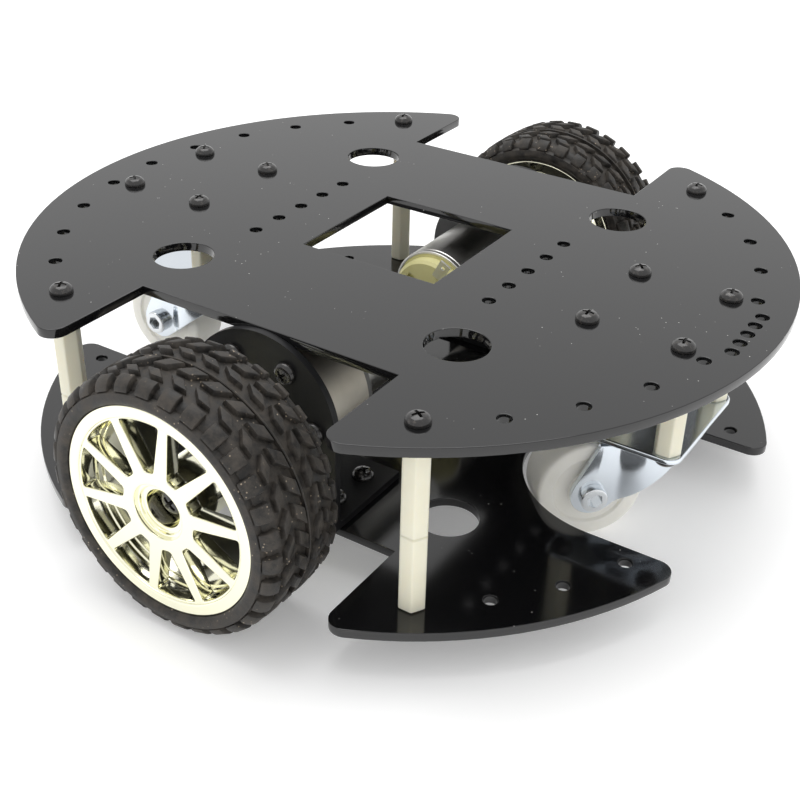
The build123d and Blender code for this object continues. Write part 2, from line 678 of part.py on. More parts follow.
def rim(side, name):
    """The plated wheel centre: a barrel, ten tapered spokes and a hub with a hexagonal socket."""
    with BuildPart() as wheel:
        with BuildSketch(axle_plane(side, WEB_FACE_Y - WEB_THICKNESS)) as web:
            Circle(BARREL_OUTER_RADIUS - 0.8)
            with PolarLocations(0, SPOKE_COUNT, start_angle=SPOKE_PHASE + 180 / SPOKE_COUNT):
                Polygon(*spoke_window(), align=None, mode=Mode.SUBTRACT)
            fillet([v for v in web.vertices() if v.X ** 2 + v.Y ** 2 < (SPOKE_ROOT + 1) ** 2], 0.9)
        extrude(amount=WEB_THICKNESS)
        with BuildSketch(Plane.YZ):
            with BuildLine():
                Polyline(*rim_profile(side), close=True)
            make_face()
        revolve(axis=Axis((0, 0, AXLE_Z), (0, 1, 0)))
        with BuildSketch(axle_plane(side, HUB_BACK_Y)):
            Circle(HUB_RADIUS)
        extrude(amount=WEB_FACE_Y - WEB_THICKNESS - HUB_BACK_Y)
        with BuildSketch(axle_plane(side, WEB_FACE_Y - 0.8)):
            Circle(HUB_RECESS_RADIUS + 1.9)
        extrude(amount=0.8, mode=Mode.SUBTRACT)
        with BuildSketch(axle_plane(side, HUB_SEAT_Y)):
            Circle(HUB_RECESS_RADIUS)
        extrude(amount=WEB_FACE_Y - HUB_SEAT_Y, mode=Mode.SUBTRACT)
        with BuildSketch(axle_plane(side, HUB_BACK_Y)):
            Circle(WHEEL_SCREW_RADIUS + 0.15)
        extrude(amount=HUB_SEAT_Y - HUB_BACK_Y, mode=Mode.SUBTRACT)
        with BuildSketch(axle_plane(side, HUB_BACK_Y)):
            RegularPolygon(hex_radius(HEX_FLATS + 0.1), 6)
        extrude(amount=COUPLING_OUTER_Y - HUB_BACK_Y, mode=Mode.SUBTRACT)
    save(wheel, f"rim_{name}")


def tyre(side, name):
    """A hollow rubber tyre with one groove round the middle of its tread and rounded shoulders."""
    bead = RIM_RADIUS + 0.02
    inner_bead = bead - 0.6
    inside = BARREL_OUTER_RADIUS + 0.02
    middle = (TYRE_OUTER_Y + TYRE_INNER_Y) / 2
    with BuildPart() as rubber:
        with BuildSketch(Plane.YZ):
            with BuildLine():
                Polyline(
                    (side * (RIM_INNER_Y + 2.65), AXLE_Z + inside),
                    (side * (RIM_INNER_Y + 1.65), AXLE_Z + inner_bead),
                    (side * (RIM_INNER_Y + 0.1), AXLE_Z + inner_bead),
                    (side * TYRE_INNER_Y, AXLE_Z + bead + 2.6),
                    (side * (TYRE_INNER_Y + 0.9), AXLE_Z + TYRE_RADIUS - 2.0),
                    (side * (TYRE_INNER_Y + 3.4), AXLE_Z + TYRE_RADIUS - 0.2),
                    (side * (middle - 1.0), AXLE_Z + TYRE_RADIUS),
                    (side * (middle - 1.0), AXLE_Z + TYRE_RADIUS - 1.2),
                    (side * (middle + 1.0), AXLE_Z + TYRE_RADIUS - 1.2),
                    (side * (middle + 1.0), AXLE_Z + TYRE_RADIUS),
                    (side * (TYRE_OUTER_Y - 3.4), AXLE_Z + TYRE_RADIUS - 0.2),
                    (side * (TYRE_OUTER_Y - 0.9), AXLE_Z + TYRE_RADIUS - 2.0),
                    (side * TYRE_OUTER_Y, AXLE_Z + bead + 2.6),
                    (side * (TYRE_OUTER_Y - 1.3), AXLE_Z + bead),
                    (side * (WHEEL_FACE_Y - 1.62), AXLE_Z + bead),
                    (side * (WHEEL_FACE_Y - 2.64), AXLE_Z + inside),
                    close=True,
                )
            make_face()
        revolve(axis=Axis((0, 0, AXLE_Z), (0, 1, 0)))
    save(rubber, f"tyre_{name}")


# ---------------------------------------------------------------- casters
def caster_frame(place_x, heading):
    """Swivel axis place, trailing direction and axle direction of a caster."""
    trail = Vector(cos(radians(heading)), sin(radians(heading)), 0)
    across = Vector(-sin(radians(heading)), cos(radians(heading)), 0)
    if across.Y > 0:
        across = across * -1
    centre = Vector(place_x, 0, 0)
    return centre, trail, across


def caster_base_plate(place_x, name):
    """The pressed plate bolted under the standoffs, with a raised ring for the balls."""
    with BuildPart() as plate:
        with BuildSketch(Plane.XY.offset(CASTER_PLATE_Z)):
            with Locations((place_x, 0)):
                RectangleRounded(CASTER_PLATE_X, CASTER_PLATE_Y, 3.5)
            with Locations((place_x, 0)):
                with GridLocations(CASTER_HOLES_X, CASTER_HOLES_Y, 2, 2):
                    Circle(HOLE_RADIUS + 0.3, mode=Mode.SUBTRACT)
            with Locations((place_x, 0)):
                Circle(KINGPIN_RADIUS + 0.02, mode=Mode.SUBTRACT)
        extrude(amount=CASTER_PLATE_THICKNESS)
        with BuildSketch(Plane.XY.offset(CASTER_PLATE_Z - 1.4)):
            with Locations((place_x, 0)):
                Circle(CROWN_RADIUS)
                Circle(CROWN_RADIUS - 1.6, mode=Mode.SUBTRACT)
        extrude(amount=1.4)
    save(plate, f"caster_base_plate_{name}")


def caster_kingpin(place_x, name):
    """The rivet that the fork swivels on."""
    lower = CROWN_Z - 0.1
    with BuildPart() as pin:
        with BuildSketch(Plane.XY.offset(lower)):
            with Locations((place_x, 0)):
                Circle(KINGPIN_RADIUS)
        extrude(amount=CASTER_PLATE_TOP + 1.4 - lower)
        with BuildSketch(Plane.XY.offset(CASTER_PLATE_TOP)):
            with Locations((place_x, 0)):
                Circle(4.2)
        extrude(amount=1.4)
        top_rim = pin.edges().filter_by(GeomType.CIRCLE).sort_by(Axis.Z)[-1]
        fillet(top_rim, 1.0)
        with BuildSketch(Plane.XY.offset(lower)):
            with Locations((place_x, 0)):
                Circle(3.8)
        extrude(amount=-1.2)
    save(pin, f"caster_kingpin_{name}")


def caster_balls(place_x, name):
    with BuildPart() as balls:
        height = (CASTER_PLATE_Z + CROWN_Z + CROWN_THICKNESS) / 2
        with Locations((place_x, 0, height)):
            with PolarLocations(BALL_CIRCLE, BALL_COUNT):
                Sphere(BALL_RADIUS)
    save(balls, f"caster_balls_{name}")


def caster_fork(place_x, heading, name):
    """A round crown with two side plates that run down to the wheel's axle."""
    centre, trail, across = caster_frame(place_x, heading)
    side_start = FORK_INSIDE / 2
    with BuildPart() as fork:
        with BuildSketch(Plane.XY.offset(CROWN_Z)):
            with Locations((centre.X, centre.Y)):
                Circle(CROWN_RADIUS)
        extrude(amount=CROWN_THICKNESS)
        for way in (-1, 1):
            origin = centre + across * (way * side_start)
            leg_plane = Plane(origin=origin, x_dir=trail, z_dir=across * way)
            up = 1 if leg_plane.y_dir.Z > 0 else -1
            top = up * (CROWN_Z + CROWN_THICKNESS)
            with BuildSketch(leg_plane):
                with BuildLine():
                    Polyline(
                        (-8.6, top),
                        (7.6, top),
                        (9.0, up * CROWN_Z),
                        (FORK_SHOULDER, up * CROWN_Z),
                        (CASTER_TRAIL + FORK_TIP_RADIUS - 0.6, up * (CASTER_WHEEL_RADIUS + 3.4)),
                        (CASTER_TRAIL, up * CASTER_WHEEL_RADIUS),
                        (CASTER_TRAIL - 3.2, up * (CASTER_WHEEL_RADIUS - 5.0)),
                        (-8.6, up * (CROWN_Z - 3.6)),
                        close=True,
                    )
                make_face()
                with Locations((CASTER_TRAIL, up * CASTER_WHEEL_RADIUS)):
                    Circle(FORK_TIP_RADIUS)
                with Locations((CASTER_TRAIL, up * CASTER_WHEEL_RADIUS)):
                    Circle(AXLE_RADIUS + 0.03, mode=Mode.SUBTRACT)
            extrude(amount=FORK_SHEET)
        with BuildSketch(Plane.XY.offset(CROWN_Z)):
            with Locations((centre.X, centre.Y)):
                Circle(KINGPIN_RADIUS + RUNNING_GAP)
        extrude(amount=CROWN_THICKNESS, mode=Mode.SUBTRACT)
    save(fork, f"caster_fork_{name}")


def caster_wheel(place_x, heading, name):
    """A solid nylon wheel with rounded edges and a shallow ring in each face."""
    centre, trail, across = caster_frame(place_x, heading)
    hub = centre + trail * CASTER_TRAIL + Vector(0, 0, CASTER_WHEEL_RADIUS)
    face = Plane(origin=hub - across * (CASTER_WHEEL_WIDTH / 2), x_dir=trail, z_dir=across)
    with BuildPart() as wheel:
        with BuildSketch(face):
            Circle(CASTER_WHEEL_RADIUS)
        extrude(amount=CASTER_WHEEL_WIDTH)
        fillet(wheel.edges().filter_by(GeomType.CIRCLE), 1.5)
        with BuildSketch(face):
            Circle(9.6)
            Circle(5.2, mode=Mode.SUBTRACT)
        extrude(amount=0.8, mode=Mode.SUBTRACT)
        with BuildSketch(face.offset(CASTER_WHEEL_WIDTH)):
            Circle(9.6)
            Circle(5.2, mode=Mode.SUBTRACT)
        extrude(amount=-0.8, mode=Mode.SUBTRACT)
        with BuildSketch(face):
            Circle(AXLE_RADIUS + RUNNING_GAP)
        extrude(amount=CASTER_WHEEL_WIDTH, mode=Mode.SUBTRACT)
    save(wheel, f"caster_wheel_{name}")


def caster_axle(place_x, heading, name):
    """The axle bolt with its round socket head, and the nut on the other side."""
    centre, trail, across = caster_frame(place_x, heading)
    hub = centre + trail * CASTER_TRAIL + Vector(0, 0, CASTER_WHEEL_RADIUS)
    outside = FORK_INSIDE / 2 + FORK_SHEET
    seat = Plane(origin=hub + across * outside, x_dir=trail, z_dir=across)
    with BuildPart() as bolt:
        with BuildSketch(seat):
            Circle(3.5)
        extrude(amount=2.4)
        with BuildSketch(seat.offset(1.0)):
            RegularPolygon(1.7, 6)
        extrude(amount=2.0, mode=Mode.SUBTRACT)
        with BuildSketch(seat):
            Circle(AXLE_RADIUS)
        extrude(amount=-2 * outside - 3.4)
    save(bolt, f"caster_axle_bolt_{name}")
    with BuildPart() as nut:
        with BuildSketch(Plane(origin=hub - across * outside, x_dir=trail, z_dir=across * -1)):
            RegularPolygon(hex_radius(7.0), 6)
            Circle(AXLE_RADIUS + 0.03, mode=Mode.SUBTRACT)
        extrude(amount=3.0)
    save(nut, f"caster_axle_nut_{name}")


# ---------------------------------------------------------------- build
top_deck()
bottom_deck()
deck_fasteners()
motor_fasteners()
for side, name in ((-1, "right"), (1, "left")):
    motor_screws(side, name)
    motor_bracket(side, name)
    gearbox_housing(side, name)
    gearbox_cover(side, name)
    idler_pin(side, name)
    output_shaft(side, name)
    idler_gear(side, name)
    rotor(side, name)
    motor_can(side, name)
    motor_magnets(side, name)
    motor_end_cap(side, name)
    motor_terminals(side, name)
    hex_coupling(side, name)
    coupling_set_screw(side, name)
    wheel_screw(side, name)
    rim(side, name)
    tyre(side, name)
for place_x, heading, name in (
    (CASTER_X, FRONT_CASTER_HEADING, "front"),
    (-CASTER_X, REAR_CASTER_HEADING, "rear"),
):
    caster_base_plate(place_x, name)
    caster_kingpin(place_x, name)
    caster_balls(place_x, name)
    caster_fork(place_x, heading, name)
    caster_wheel(place_x, heading, name)
    caster_axle(place_x, heading, name)
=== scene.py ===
"""Looks of the two wheel robot car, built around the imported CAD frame. Lengths below are in millimetres."""

import math
import random

import bmesh
import bpy
from mathutils import Matrix, Vector


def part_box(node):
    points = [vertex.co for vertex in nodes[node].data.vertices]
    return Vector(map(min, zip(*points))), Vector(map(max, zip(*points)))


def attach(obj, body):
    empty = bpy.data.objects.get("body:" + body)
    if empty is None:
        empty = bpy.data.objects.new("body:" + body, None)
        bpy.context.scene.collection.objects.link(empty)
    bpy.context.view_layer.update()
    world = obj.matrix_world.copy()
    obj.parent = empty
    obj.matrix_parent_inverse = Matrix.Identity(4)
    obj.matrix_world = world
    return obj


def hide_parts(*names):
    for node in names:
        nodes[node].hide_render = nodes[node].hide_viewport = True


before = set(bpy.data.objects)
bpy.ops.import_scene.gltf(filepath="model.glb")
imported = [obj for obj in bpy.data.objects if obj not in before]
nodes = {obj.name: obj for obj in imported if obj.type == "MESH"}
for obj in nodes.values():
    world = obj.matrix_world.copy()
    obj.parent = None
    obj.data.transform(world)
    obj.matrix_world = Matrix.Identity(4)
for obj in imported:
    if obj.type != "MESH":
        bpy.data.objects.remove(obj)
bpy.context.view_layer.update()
rng = random.Random(7)

MM = 0.001
SIDES = (("right", -1), ("left", 1))
ENDS = (("front", 1), ("rear", -1))


# ---------------------------------------------------------------- material graphs
class Graph:
    """A material's node tree, with short names for the nodes used here."""

    def __init__(self, name):
        self.material = bpy.data.materials.new(name)
        self.material.use_nodes = True
        self.tree = self.material.node_tree
        self.shader = next(n for n in self.tree.nodes if n.type == "BSDF_PRINCIPLED")
        self.coordinates = self.tree.nodes.new("ShaderNodeTexCoord").outputs["Object"]

    def set(self, **values):
        for key, value in values.items():
            self.shader.inputs[key.replace("_", " ")].default_value = value

    def link(self, output, socket):
        self.tree.links.new(output, self.shader.inputs[socket] if isinstance(socket, str) else socket)

    def stretched(self, scale):
        node = self.tree.nodes.new("ShaderNodeMapping")
        node.inputs["Scale"].default_value = scale
        self.link(self.coordinates, node.inputs["Vector"])
        return node.outputs["Vector"]

    def noise(self, scale, detail=3.0, roughness=0.5, vector=None):
        """Noise whose cells are about 1 / scale millimetres across."""
        node = self.tree.nodes.new("ShaderNodeTexNoise")
        node.inputs["Scale"].default_value = scale / MM
        node.inputs["Detail"].default_value = detail
        node.inputs["Roughness"].default_value = roughness
        self.link(vector or self.coordinates, node.inputs["Vector"])
        return node.outputs["Fac"]

    def cells(self, scale, vector=None):
        node = self.tree.nodes.new("ShaderNodeTexVoronoi")
        node.inputs["Scale"].default_value = scale / MM
        self.link(vector or self.coordinates, node.inputs["Vector"])
        return node.outputs["Distance"]

    def ramp(self, value, low, high, from_low=0.0, from_high=1.0):
        """A colour or a number that goes from low to high while the value crosses a band."""
        node = self.tree.nodes.new("ShaderNodeMapRange")
        node.clamp = True
        node.inputs["From Min"].default_value = from_low
        node.inputs["From Max"].default_value = from_high
        node.inputs["To Min"].default_value = low
        node.inputs["To Max"].default_value = high
        self.link(value, node.inputs["Value"])
        return node.outputs["Result"]

    def tint(self, factor, low, high):
        """Mixes two colours, each a plain colour or another node's output."""
        node = self.tree.nodes.new("ShaderNodeMix")
        node.data_type = "RGBA"
        for key, value in (("A", low), ("B", high)):
            if isinstance(value, tuple):
                node.inputs[key].default_value = (*value, 1.0)
            else:
                self.link(value, node.inputs[key])
        self.link(factor, node.inputs["Factor"])
        return node.outputs["Result"]

    def product(self, first, second):
        node = self.tree.nodes.new("ShaderNodeMath")
        node.operation = "MULTIPLY"
        self.link(first, node.inputs[0])
        self.link(second, node.inputs[1])
        return node.outputs[0]

    def bump(self, height, depth, normal=None):
        """Relief of the given depth in millimetres."""
        node = self.tree.nodes.new("ShaderNodeBump")
        node.inputs["Strength"].default_value = 1.0
        node.inputs["Distance"].default_value = depth * MM
        self.link(height, node.inputs["Height"])
        if normal:
            self.link(normal, node.inputs["Normal"])
        return node.outputs["Normal"]


def acrylic():
    """Polished black sheet with a few wiping marks and specks of dust."""
    g = Graph("black_acrylic")
    smears = g.noise(0.03, 4.0, 0.6, g.stretched((1.0, 0.35, 1.0)))
    dust = g.ramp(g.cells(0.42), 1.0, 0.0, 0.04, 0.07)
    sparse = g.ramp(g.noise(0.06, 2.0), 0.0, 1.0, 0.55, 0.62)
    specks = g.product(dust, sparse)
    g.link(g.tint(specks, (0.006, 0.006, 0.0065), (0.55, 0.54, 0.52)), "Base Color")
    g.link(g.ramp(smears, 0.04, 0.13, 0.35, 0.7), "Roughness")
    g.link(g.bump(g.noise(0.02, 2.0), 0.02), "Normal")
    g.set(IOR=1.62)
    return g.material


def acrylic_edge():
    """The sheet's cut edge, with fine upright lines from cutting."""
    g = Graph("black_acrylic_edge")
    lines = g.noise(2.2, 2.0, 0.6, g.stretched((1.0, 1.0, 0.03)))
    g.link(g.tint(lines, (0.008, 0.008, 0.009), (0.03, 0.03, 0.032)), "Base Color")
    g.link(g.ramp(lines, 0.16, 0.34), "Roughness")
    g.link(g.bump(lines, 0.02), "Normal")
    return g.material


def nylon():
    """Milky moulded nylon that lets a little light in."""
    g = Graph("white_nylon")
    clouds = g.noise(0.12, 3.0)
    flow = g.noise(1.5, 2.0, 0.5, g.stretched((1.0, 1.0, 0.08)))
    g.link(g.tint(clouds, (0.80, 0.765, 0.60), (0.86, 0.835, 0.69)), "Base Color")
    g.link(g.ramp(flow, 0.32, 0.48), "Roughness")
    g.link(g.bump(flow, 0.03), "Normal")
    g.set(Subsurface_Weight=0.35, Subsurface_Radius=(0.0025, 0.0022, 0.0016), Subsurface_Scale=1.0)
    return g.material


def caster_nylon():
    g = Graph("caster_nylon")
    clouds = g.noise(0.15, 4.0)
    scuffs = g.noise(0.9, 5.0, 0.7)
    g.link(g.tint(clouds, (0.82, 0.80, 0.73), (0.90, 0.89, 0.84)), "Base Color")
    g.link(g.ramp(scuffs, 0.3, 0.55), "Roughness")
    g.link(g.bump(scuffs, 0.04), "Normal")
    g.set(Subsurface_Weight=0.3, Subsurface_Radius=(0.003, 0.003, 0.0025), Subsurface_Scale=1.0)
    return g.material


def black_screw():
    g = Graph("black_screw")
    wear = g.ramp(g.noise(1.4, 4.0, 0.6), 0.0, 1.0, 0.52, 0.72)
    g.link(g.tint(wear, (0.018, 0.017, 0.017), (0.07, 0.062, 0.055)), "Base Color")
    g.link(g.ramp(g.noise(2.5, 3.0), 0.14, 0.32), "Roughness")
    g.link(g.bump(g.noise(3.0, 3.0), 0.008), "Normal")
    g.set(Metallic=0.4, Coat_Weight=0.6, Coat_Roughness=0.12)
    return g.material


def plated(name, low, high, rough, patch=0.25, relief=0.01):
    """Bright plated or bare metal with soft patches and fine relief."""
    g = Graph(name)
    patches = g.noise(patch, 4.0, 0.55)
    g.link(g.tint(patches, low, high), "Base Color")
    g.link(g.ramp(g.noise(1.2, 4.0, 0.6), rough * 0.75, rough * 1.35), "Roughness")
    g.link(g.bump(g.noise(2.0, 4.0, 0.6), relief), "Normal")
    g.set(Metallic=1.0)
    return g.material


def turned(name, low, high, rough, stretch):
    """Metal with fine tool or brush lines along one direction."""
    g = Graph(name)
    lines = g.noise(3.5, 3.0, 0.6, g.stretched(stretch))
    g.link(g.tint(lines, low, high), "Base Color")
    g.link(g.ramp(lines, rough * 0.8, rough * 1.25), "Roughness")
    g.link(g.bump(lines, 0.012), "Normal")
    g.set(Metallic=1.0)
    return g.material


def rubber(name, clean, dusty, amount, gloss=0.5, shine=0.5):
    """Tyre rubber under an uneven film of grey-brown dust, with loose grains of sand."""
    g = Graph(name)
    grain = g.noise(3.0, 4.0, 0.7)
    film = g.noise(0.3, 5.0, 0.7)
    dust = g.ramp(film, 0.0, amount, 0.38, 0.72)
    grit = g.ramp(g.cells(0.85), 1.0, 0.0, 0.1, 0.2)
    patchy = g.ramp(g.noise(0.16, 3.0), 0.0, 0.8, 0.5, 0.62)
    grains = g.product(grit, patchy)
    # For the groove and flank materials the clean and dusty colours also carry painted light and painted shade.
    colour = g.tint(dust, clean, dusty)
    g.link(g.tint(grains, colour, (0.42, 0.34, 0.25)), "Base Color")
    g.link(g.ramp(film, gloss - 0.1, gloss + 0.3, 0.3, 0.7), "Roughness")
    g.link(g.bump(grain, 0.05, g.bump(film, 0.12)), "Normal")
    g.set(Specular_IOR_Level=shine)
    return g.material


def powder_coat():
    g = Graph("black_bracket")
    peel = g.noise(1.1, 2.0)
    g.link(g.tint(g.noise(0.1, 3.0), (0.008, 0.008, 0.009), (0.016, 0.016, 0.017)), "Base Color")
    g.link(g.ramp(peel, 0.28, 0.42), "Roughness")
    g.link(g.bump(peel, 0.03), "Normal")
    g.set(Specular_IOR_Level=0.22)
    return g.material


def cream_plastic():
    g = Graph("cream_plastic")
    g.link(g.tint(g.noise(0.2, 3.0), (0.56, 0.53, 0.24), (0.66, 0.62, 0.32)), "Base Color")
    g.link(g.ramp(g.noise(2.0, 3.0), 0.32, 0.5), "Roughness")
    g.link(g.bump(g.noise(2.2, 2.0), 0.02), "Normal")
    g.set(Subsurface_Weight=0.15, Subsurface_Radius=(0.002, 0.0018, 0.001), Subsurface_Scale=1.0)
    return g.material


def ferrite():
    g = Graph("ferrite")
    g.link(g.tint(g.noise(1.5, 5.0), (0.05, 0.05, 0.055), (0.1, 0.1, 0.105)), "Base Color")
    g.link(g.ramp(g.noise(3.0, 4.0), 0.6, 0.85), "Roughness")
    g.link(g.bump(g.noise(3.0, 4.0), 0.05), "Normal")
    return g.material


def floor_paint():
    g = Graph("studio_floor")
    g.link(g.tint(g.noise(0.004, 2.0), (0.90, 0.90, 0.90), (0.93, 0.93, 0.93)), "Base Color")
    g.link(g.ramp(g.noise(0.02, 3.0), 0.45, 0.6), "Roughness")
    g.set(Emission_Color=(1.0, 1.0, 1.0, 1.0), Emission_Strength=0.2)
    return g.material


BLACK = acrylic()
EDGE = acrylic_edge()
NYLON = nylon()
CASTER = caster_nylon()
SCREW = black_screw()
ZINC = plated("zinc_sheet", (0.66, 0.72, 0.79), (0.80, 0.84, 0.87), 0.15, 0.05, 0.002)
ZINC_SCREW = plated("zinc_screw", (0.66, 0.69, 0.72), (0.80, 0.82, 0.83), 0.17, 0.2, 0.003)
CHROME = plated("plated_rim", (0.93, 0.915, 0.71), (0.97, 0.955, 0.77), 0.07, 0.06, 0.004)
CAN = turned("motor_steel", (0.55, 0.54, 0.51), (0.72, 0.71, 0.68), 0.3, (1.0, 0.06, 1.0))
COVER = plated("gearbox_cover", (0.10, 0.10, 0.10), (0.17, 0.17, 0.165), 0.42, 0.3, 0.02)
GEARBOX = plated("gearbox_metal", (0.40, 0.375, 0.325), (0.50, 0.47, 0.41), 0.33, 0.3, 0.02)
STEEL = turned("gear_steel", (0.45, 0.45, 0.46), (0.62, 0.62, 0.63), 0.3, (1.0, 0.1, 1.0))
BEARING = plated("bearing_steel", (0.72, 0.72, 0.74), (0.82, 0.82, 0.84), 0.1)
TIN = plated("tinned_lug", (0.78, 0.78, 0.76), (0.90, 0.90, 0.88), 0.3, 0.5, 0.01)
COAT = powder_coat()
CREAM = cream_plastic()
MAGNET = ferrite()
TREAD = rubber("tyre_rubber", (0.014, 0.013, 0.012), (0.075, 0.064, 0.053), 0.9, 0.42, 0.35)
# The groove floor colours are dust plus painted light: the floor between the blocks is made lighter than the tread
# rubber to stand for light falling on it.
GROOVE_DUST_AND_LIGHT = rubber("tyre_groove_dust_and_light", (0.050, 0.043, 0.036), (0.21, 0.178, 0.145), 0.9, 0.7, 0.1)
WALL = rubber("tyre_wall", (0.014, 0.014, 0.014), (0.045, 0.042, 0.039), 0.5, 0.42, 0.4)
# The flank material is near-black painted shade for the tread blocks' side walls, standing in for the shadow that
# falls between the blocks.
PAINTED_SHADE_FLANK = rubber("tyre_flank_painted_shade", (0.004, 0.0036, 0.0032), (0.014, 0.012, 0.010), 0.7, 0.6, 0.08)
PAINT = floor_paint()


# ---------------------------------------------------------------- mesh tools
def make_object(name, mesh):
    piece = bpy.data.objects.new(name, mesh)
    bpy.context.scene.collection.objects.link(piece)
    return piece


def from_bmesh(name, bm):
    mesh = bpy.data.meshes.new(name)
    bm.to_mesh(mesh)
    bm.free()
    return make_object(name, mesh)


def paint(piece, *materials):
    piece.data.materials.clear()
    for material in materials:
        piece.data.materials.append(material)


def smooth(piece, degrees=32.0):
    """Smooth shading that breaks at sharp edges."""
    piece.data.set_sharp_from_angle(angle=math.radians(degrees))


def flatten(mesh, direction):
    """Flat shading on the faces that look straight along a direction, either way."""
    for polygon in mesh.polygons:
        polygon.use_smooth = abs(polygon.normal.dot(direction)) < 0.9995


def join(name, pieces):
    """One mesh object out of several, keeping each face's material."""
    bm = bmesh.new()
    slots = []
    for piece in pieces:
        index = {}
        for i, material in enumerate(piece.data.materials):
            if material not in slots:
                slots.append(material)
            index[i] = slots.index(material)
        mesh = piece.data
        mesh.transform(piece.matrix_world)
        start = len(bm.faces)
        bm.from_mesh(mesh)
        bm.faces.ensure_lookup_table()
        for face in bm.faces[start:]:
            face.material_index = index.get(face.material_index, 0)
        bpy.data.objects.remove(piece)
    whole = from_bmesh(name, bm)
    paint(whole, *slots)
    return whole


def finish_piece(piece, body, slot, *replaced):
    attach(piece, body)
    if replaced:
        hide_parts(*replaced)
    return piece


def soften(points, radius, steps=3):
    """A closed outline with its corners rounded. A radius can be a number, or one number for each corner."""
    count = len(points)
    rounded = []
    for i, point in enumerate(points):
        r = radius[i] if isinstance(radius, (list, tuple)) else radius
        here, before, after = Vector(point), Vector(points[i - 1]), Vector(points[(i + 1) % count])
        back, ahead = before - here, after - here
        if r <= 0 or back.length < 1e-9 or ahead.length < 1e-9:
            rounded.append(here)
            continue
        turn = back.angle(ahead)
        if turn > math.radians(177):
            rounded.append(here)
            continue
        reach = min(r / math.tan(turn / 2), back.length * 0.48, ahead.length * 0.48)
        start, end = here + back.normalized() * reach, here + ahead.normalized() * reach
        for step in range(steps + 1):
            t = step / steps
            rounded.append(start * (1 - t) ** 2 + here * 2 * t * (1 - t) + end * t ** 2)
    return rounded


def lathe(name, outline, origin, direction, segments=96, materials=(STEEL,), pick=None):
    """Turns a closed outline of (along, radius) points about an axis. Points on the axis make poles."""
    along = Vector(direction).normalized()
    helper = Vector((0, 0, 1)) if abs(along.z) < 0.9 else Vector((1, 0, 0))
    across = along.cross(helper).normalized()
    upward = along.cross(across)
    bm = bmesh.new()
    rings = []
    for distance, radius in outline:
        centre = Vector(origin) + along * distance
        if radius < 1e-6:
            rings.append([bm.verts.new(centre * MM)])
            continue
        ring = []
        for i in range(segments):
            a = 2 * math.pi * i / segments
            ring.append(bm.verts.new((centre + (across * math.cos(a) + upward * math.sin(a)) * radius) * MM))
        rings.append(ring)
    for k, ring in enumerate(rings):
        other = rings[(k + 1) % len(rings)]
        if len(ring) == 1 and len(other) == 1:
            continue
        for i in range(segments):
            j = (i + 1) % segments
            corners = [ring[i % len(ring)], ring[j % len(ring)], other[j % len(other)], other[i % len(other)]]
            unique = list(dict.fromkeys(corners))
            if len(unique) > 2:
                face = bm.faces.new(unique)
                face.material_index = pick(k) if pick else 0
    bmesh.ops.recalc_face_normals(bm, faces=bm.faces)
    piece = from_bmesh(name, bm)
    paint(piece, *materials)
    smooth(piece)
    return piece


def sheet_plate(name, outlines, base, x_axis, y_axis, thickness, bevel, materials, steps=2):
    """A flat plate with any number of holes and softly rounded edges, standing on a plane."""
    curve = bpy.data.curves.new(name, "CURVE")
    curve.dimensions = "2D"
    curve.fill_mode = "BOTH"
    curve.extrude = (thickness / 2 - bevel) * MM
    curve.bevel_depth = bevel * MM
    curve.bevel_resolution = steps
    curve.offset = -bevel * MM
    for outline in outlines:
        spline = curve.splines.new("POLY")
        spline.points.add(len(outline) - 1)
        for point, place in zip(spline.points, outline):
            point.co = (place[0] * MM, place[1] * MM, 0.0, 1.0)
        spline.use_cyclic_u = True
    holder = bpy.data.objects.new(name, curve)
    bpy.context.scene.collection.objects.link(holder)
    bpy.context.view_layer.update()
    mesh = bpy.data.meshes.new_from_object(holder)
    bpy.data.objects.remove(holder)
    piece = make_object(name, mesh)
    x, y = Vector(x_axis), Vector(y_axis)
    z = x.cross(y)
    centre = Vector(base) * MM + z * thickness * MM / 2
    mesh.transform(Matrix((
        (x.x, y.x, z.x, centre.x),
        (x.y, y.y, z.y, centre.y),
        (x.z, y.z, z.z, centre.z),
        (0, 0, 0, 1),
    )))
    bm = bmesh.new()
    bm.from_mesh(mesh)
    bmesh.ops.remove_doubles(bm, verts=bm.verts, dist=1e-7)
    bmesh.ops.recalc_face_normals(bm, faces=bm.faces)
    for face in bm.faces:
        facing = abs(face.normal.dot(z))
        face.material_index = 0 if facing > 0.5 or len(materials) == 1 else 1
    bm.to_mesh(mesh)
    bm.free()
    mesh.set_sharp_from_angle(angle=math.radians(50))
    flatten(mesh, z)
    paint(piece, *materials)
    return piece


def circle(radius, centre=(0.0, 0.0), segments=64, start=0.0):
    return [
        (centre[0] + radius * math.cos(start + 2 * math.pi * i / segments),
         centre[1] + radius * math.sin(start + 2 * math.pi * i / segments))
        for i in range(segments)
    ]


def face_loops(node, normal):
    """Outlines of a CAD node's faces that look along a direction, as 3-D loops in millimetres."""
    mesh = nodes[node].data
    normal = Vector(normal)
    best = max(normal.dot(v.co) for v in mesh.vertices)
    edges = {}
    for polygon in mesh.polygons:
        if polygon.normal.dot(normal) < 0.999:
            continue
        if abs(normal.dot(polygon.center) - best) > 0.01 * MM:
            continue
        keys = [tuple(round(c / MM, 3) for c in mesh.vertices[i].co) for i in polygon.vertices]
        for a, b in zip(keys, keys[1:] + keys[:1]):
            if (b, a) in edges:
                del edges[(b, a)]
            else:
                edges[(a, b)] = True
    follow = {a: b for a, b in edges}
    loops = []
    while follow:
        start, here = next(iter(follow.items()))
        del follow[start]
        loop = [start]
        while here != start:
            loop.append(here)
            here = follow.pop(here)
        loops.append(loop)
    return loops


